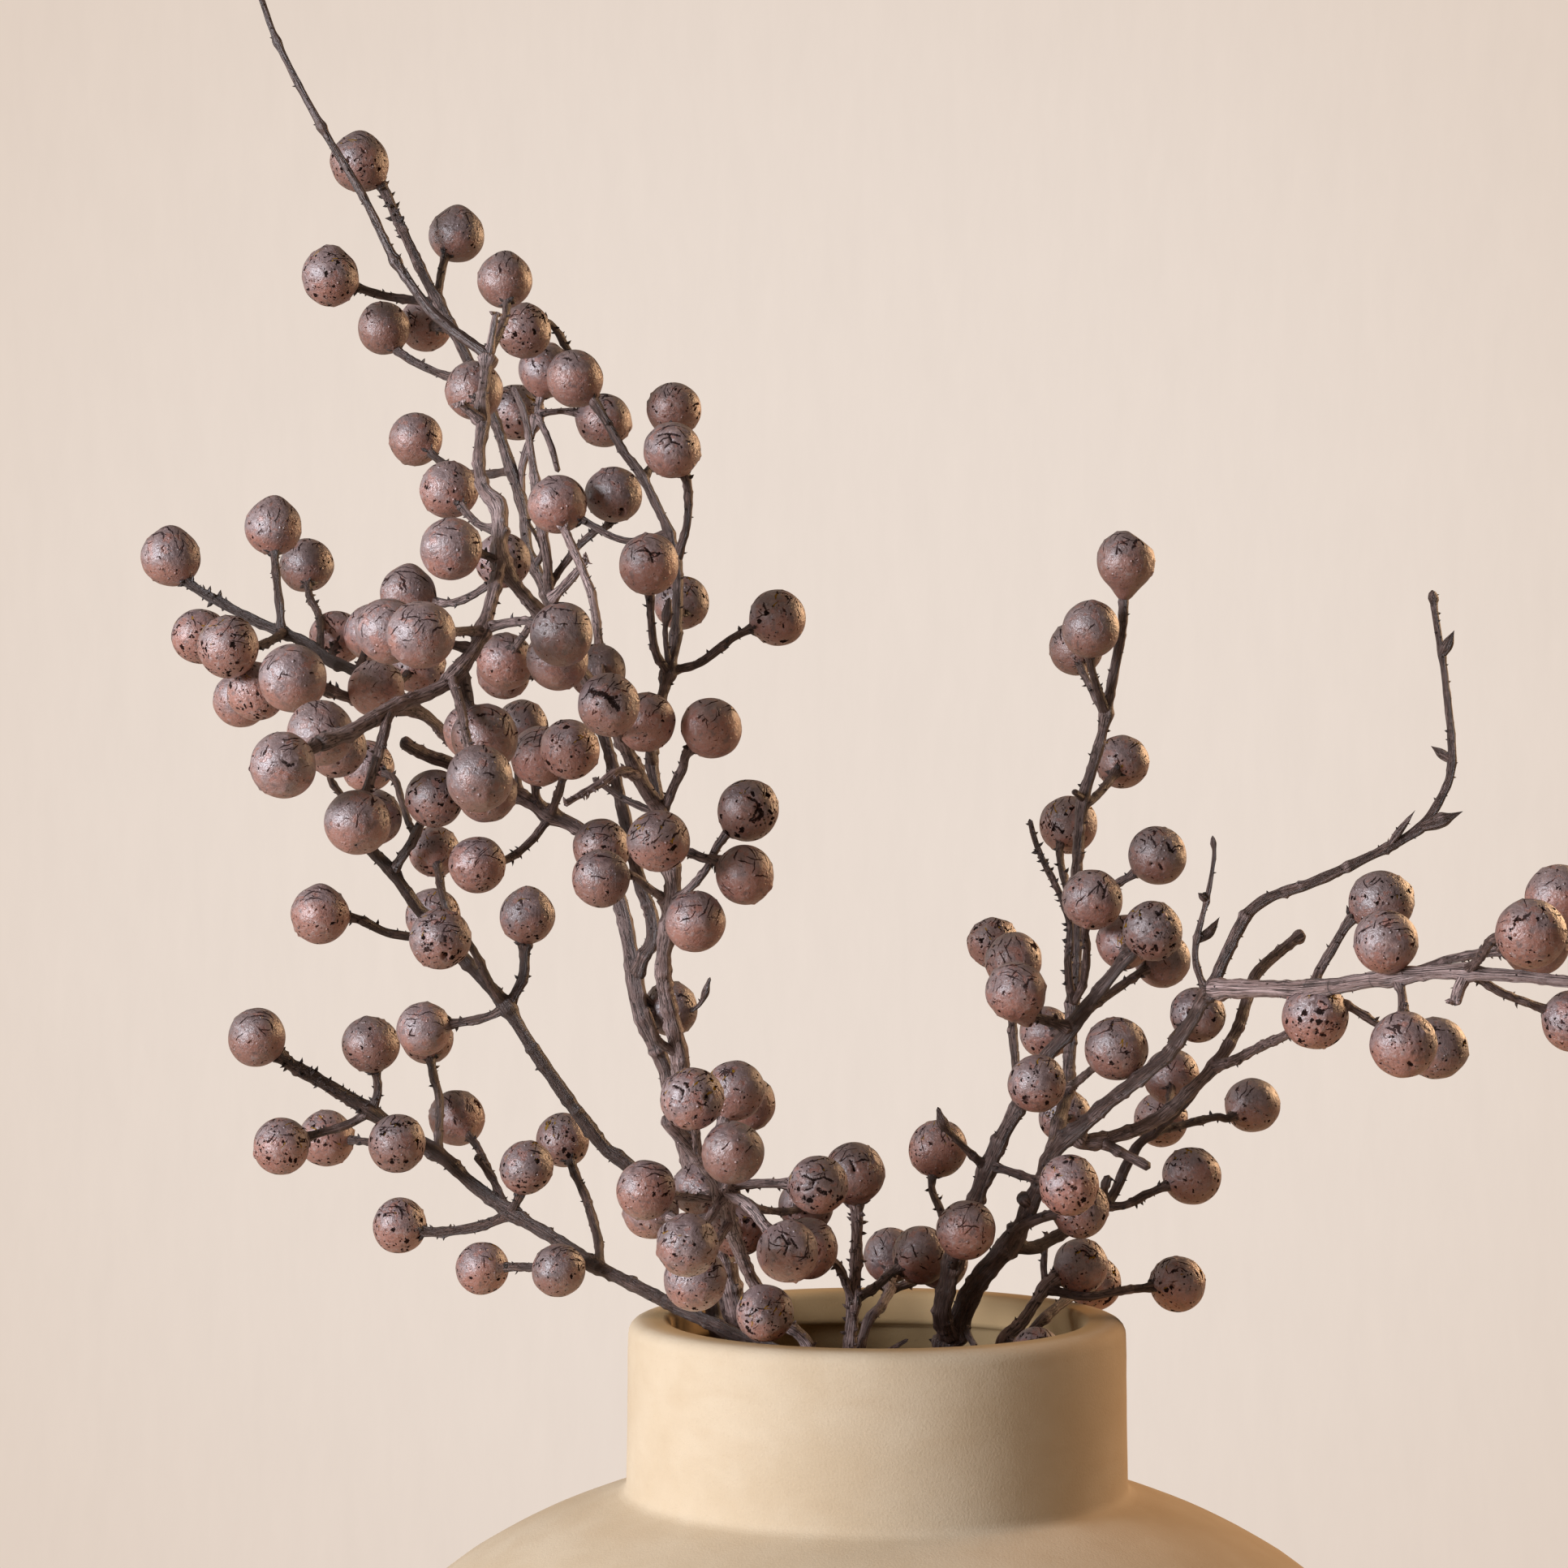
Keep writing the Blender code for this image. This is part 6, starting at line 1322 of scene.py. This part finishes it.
def pod_material():
    """Satin skin with a greyer cap, dust, dark chips and hairline cracks."""
    s = Shader(bpy.data.materials.new("pod skin"))
    place, up = s.value("place", "Vector"), s.value("up")
    warm = s.node("SeparateXYZ", Vector=s.value("tint", "Vector"))
    light, chips = warm.beside(1), warm.beside(2)
    middling = s.noise(place, 0.6, 5.0, 0.65)
    # The cap is where lift is high
    lift = up * 0.75 + s.noise(place, 0.17, 3.0) * 1.7 - warm * 0.55
    base = s.mix(s.step(lift, 0.2, 0.95), colour(160, 107, 92), colour(134, 114, 115))
    blush = s.noise(place, 0.4, 6.0, 0.68)
    blushed = s.step(blush, 0.545, 0.585)
    film = s.step(blush, 0.46, 0.43) * s.step(lift, 0.35, 0.7)
    dust = s.step(s.noise(place, 2.2, 4.0, 0.72), 0.57, 0.66)
    grime = s.step(s.noise(place, 1.7, 4.0, 0.72), 0.42, 0.34)
    patches = s.step(s.noise(place, 0.42, 4.0, 0.7), 0.68, 0.72)
    # Chips of three kinds, on some cells only: (where, cells per mm, how rare, size)
    bent = s.pushed(place, place, 1.3, 4.0, 1.5)
    flat = bent.scaled(0.4, 0.4, 1.0)
    many = chips * 0.85 + 0.38
    kinds = []
    for vector, scale, rare, size in (
            (bent, 0.6, 0.7, 0.42), (bent, 1.25, 0.52, 0.4), (flat, 0.85, 0.6, 0.3)):
        distance = s.cells(vector, scale)
        chance = s.node("SeparateColor", Color=distance.beside("Color"))
        limit = s.step(chance, rare, 1.0) * (many * size)
        kinds.append(s.step(distance - limit, 0.02, -0.03))
    dark = s.most(*kinds) * s.step(s.noise(place, 0.2, 2.0) - up * 0.1, 0.38, 0.48)
    # Hairline cracks in the cap: the edges of thin slabs that cut the skin
    sway = s.pushed(place, place, 0.4, 3.0, 1.6)
    slabs = []
    for turn in ((0.3, 1.2, 0.2), (1.3, 0.2, 0.9), (2.1, 0.9, 2.4)):
        turned = s.node("VectorRotate", 0, {"rotation_type": "EULER_XYZ"},
                        Vector=sway, Rotation=turn)
        slabs.append(s.step(s.cells(turned.scaled(0.09, 0.09, 1.3), 1.0), 0.24, 0.19))
    cracked = s.noise(place, 0.22, 2.0) + up * 0.28 + light * 0.1
    cracks = s.most(*slabs) * s.step(cracked, 0.6, 0.65)
    ochre = s.step(s.noise(place, 0.35, 2.0), 0.56, 0.6) * cracks * s.step(chips, 0.55, 0.6)
    # The marks that the table gives, with ragged edges
    ragged = (s.noise(place, 2.2, 4.0, 0.7) - 0.62) * 1.6
    mark = s.step(s.value("mark") + ragged, 0.52, 0.68)
    base = s.stains(
        base,
        (s.step(middling, 0.52, 0.7), 1.0, (168, 143, 139)),
        (s.step(middling, 0.47, 0.36), 0.75, (96, 73, 72)),
        (blushed, 0.55, (164, 100, 82)),
        (film, 0.5, (110, 92, 94)),
        (dust, 0.32, (186, 164, 158)),
        (grime, 0.4, (92, 68, 64)),
        (patches, 0.75, (70, 50, 47)),
        (cracks, 0.85, (36, 27, 25)),
        (dark, 0.96, (26, 19, 17)),
        (ochre, 0.9, (160, 122, 40)),
        (mark, 0.92, (30, 22, 20)))
    shade = light * 0.36 + 0.6
    shade = s.node("CombineColor", Red=shade, Green=shade, Blue=shade)
    pimples = s.step(s.cells(place, 0.45), 0.22, 0.0)
    relief = middling * 0.45 + s.noise(place, 4.5, 3.0) * 0.05 - dark * 0.35 + pimples * 0.9
    relief = relief + s.noise(place, 1.2, 3.0, 0.6) * 0.35 - blushed * 0.12
    bumped = s.bump(relief, 0.00042)
    whole = s.step(s.most(dark, cracks, mark), 0.6, 0.0)
    return s.surface(
        Base_Color=s.mix(1.0, base, shade, "MULTIPLY"), Roughness=middling * 0.3 + 0.38,
        Specular_IOR_Level=whole, Coat_Weight=whole, Coat_Roughness=0.34,
        Normal=bumped, Coat_Normal=bumped)


def bark_material():
    """Dull brown to pale grey bark, by its tone, with grooves, pits, splits and dark leaf scars,
    and painted shade where its relief is low.
    """
    s = Shader(bpy.data.materials.new("bark"))
    place, tone, height = s.value("place", "Vector"), s.value("tone"), s.value("height")
    long = place.scaled(1.3, 1.3, 0.3)
    streaks = s.noise(long, 1.6, 4.0, 0.6)
    clouds = s.noise(place, 0.5, 4.0, 0.6)
    cloudy = s.step(clouds, 0.36, 0.64)
    dull = s.mix(cloudy, colour(55, 38, 32), colour(99, 74, 64))
    pale = s.mix(cloudy, colour(146, 121, 116), colour(200, 177, 174))
    grooves = s.math("MINIMUM", s.step(streaks, 0.47, 0.4) * (tone + 0.5), 0.8)
    pits = s.step(s.cells(place, 0.9), 0.2, 0.14)
    wavy = s.pushed(long, place, 1.2, 3.0, 0.7)
    splits = s.step(s.cells(wavy, 1.1, "DISTANCE_TO_EDGE"), 0.07, 0.02)
    splits = splits * s.step(clouds, 0.42, 0.52)
    base = s.stains(
        # tone, paler where the bark is raised and darker where it is low: wear on the raised bark,
        # painted shade in the low places
        s.mix(s.step(tone + (height - 0.4) * 0.5, 0.0, 0.9), dull, pale),
        (grooves, 1.0, (48, 34, 29)),
        (s.step(streaks, 0.56, 0.64), 0.3, (150, 128, 126)),
        # painted shade in the low places between ridges and at the ends of bare twigs, with the
        # leaf scars' own dark
        (s.step(height, 0.22, 0.0), 0.75, (46, 34, 31)),
        (s.step(tone, 0.0, -0.4), 0.85, (42, 28, 24)),
        (pits, 0.8, (38, 28, 26)),
        (splits, 0.75, (36, 25, 22)))
    relief = streaks * 0.9 + s.noise(place, 4.5, 3.0, 0.6) * 0.4 - pits * 0.4 - splits * 0.5
    return s.surface(Base_Color=base, Roughness=0.45, Specular_IOR_Level=0.75,
                     Normal=s.bump(relief, 0.0007))


def stoneware_material():
    """Matte sand-coloured clay with faint turning bands, and painted shade that makes the inside
    darker and warmer.
    """
    s = Shader(bpy.data.materials.new("stoneware"))
    place = s.node("TexCoord", "Object").scaled(1000.0, 1000.0, 1000.0)
    bands = s.noise(place.scaled(0.3, 0.3, 1.0), 0.12, 3.0)
    grain = s.noise(place, 1.6, 4.0, 0.6)
    height = s.node("SeparateXYZ", "Z", Vector=place)
    flat = place.scaled(1.0, 1.0, 0.0)
    from_axis = s.node("VectorMath", "Value", {"operation": "LENGTH"}, {0: flat})
    # Painted shade: the inside of the neck and body is coloured darker and warmer, as in shadow.
    inside = s.step(from_axis, NECK_RADIUS - 1.0, NECK_RADIUS - 7.0) * s.step(height, 90.0, 100.0)
    clouds = s.step(s.noise(place, 0.035, 4.0), 0.3, 0.7)
    base = s.stains(
        s.mix(clouds, colour(200, 182, 153), colour(209, 194, 168)),
        (s.step(bands, 0.5, 0.75), 0.35, (196, 176, 146)),
        (s.step(grain, 0.58, 0.75), 0.25, (183, 162, 131)),
        # painted shade inside the vase
        (inside, 0.8, (186, 156, 106)))
    return s.surface(Base_Color=base, Roughness=0.78, Specular_IOR_Level=0.3,
                     Normal=s.bump(grain * 0.35 + bands * 0.8, 0.0003))


# Stage, light and camera

def make_floor():
    mesh = bpy.data.meshes.new("floor")
    corners = []
    for k in range(FLOOR_CORNERS):
        angle = k * math.tau / FLOOR_CORNERS
        corners.append((FLOOR_REACH * math.cos(angle), FLOOR_REACH * math.sin(angle), -0.0002))
    mesh.from_pydata(corners, [], [tuple(range(FLOOR_CORNERS))])
    s = Shader(bpy.data.materials.new("floor"))
    mesh.materials.append(s.surface(Base_Color=colour(196, 184, 170), Roughness=0.9))
    floor = bpy.data.objects.new("floor", mesh)
    bpy.context.scene.collection.objects.link(floor)


def make_light(name, place, aim, size, power, tone):
    lamp = bpy.data.lights.new(name, "AREA")
    lamp.shape = "DISK"
    lamp.size = size
    lamp.energy = power
    lamp.color = colour(*tone)[:3]
    holder = bpy.data.objects.new(name, lamp)
    holder.location = place
    holder.rotation_euler = (Vector(aim) - Vector(place)).to_track_quat("-Z", "Y").to_euler()
    bpy.context.scene.collection.objects.link(holder)


def make_world():
    """Soft light from all round, and the plain warm wall that the camera sees, with painted light
    making it lightest straight ahead.
    """
    world = bpy.data.worlds.new("world")
    bpy.context.scene.world = world
    s = Shader(world)
    way = s.node("TexCoord", "Generated")
    across = s.node("SeparateXYZ", Vector=way)
    # The wall: painted light makes it lightest straight ahead; with faint streaks
    painted_light_ahead = s.step(across.beside("Y"), 0.955, 1.0)
    wall = s.mix(painted_light_ahead, colour(225, 208, 194), colour(234, 220, 209))
    streaks = s.noise(way.scaled(150.0, 1.0, 34.0), 1.0, 6.0, 0.68)
    seen = world.node_tree.nodes["Background"]
    s.fill(seen, Color=wall, Strength=s.spread(streaks, 0.3, 0.7, 0.982, 1.012))
    # The light: stronger from the left
    lit = s.node("Background", Color=colour(255, 228, 204),
                 Strength=s.spread(across, 1.0, -1.0, 0.09, 0.44))
    camera_ray = s.node("LightPath", "Is Camera Ray")
    both = s.node("MixShader", numbered={0: camera_ray, 1: lit, 2: Field(s, seen.outputs[0])})
    s.fill(world.node_tree.nodes["World Output"], Surface=both)


def make_camera():
    camera = bpy.data.objects.new("camera", bpy.data.cameras.new("camera"))
    camera.data.lens = LENS
    camera.data.sensor_width = SENSOR
    camera.location = (EYE_ACROSS * MM, -EYE_DISTANCE * MM, (VASE_HEIGHT + EYE_ABOVE_RIM) * MM)
    camera.rotation_euler = (math.pi / 2, 0.0, 0.0)
    bpy.context.scene.collection.objects.link(camera)
    bpy.context.scene.camera = camera


make_camera()
make_world()
make_floor()
for light in LIGHTS:
    make_light(*light)
bpy.context.scene.view_settings.view_transform = "Standard"

make_vase(stoneware_material())
looks = (bark_material(), pod_material(),
         ball_grid(16), ball_grid(32))
for branch in BRANCHES:
    make_branch(*branch, *looks)
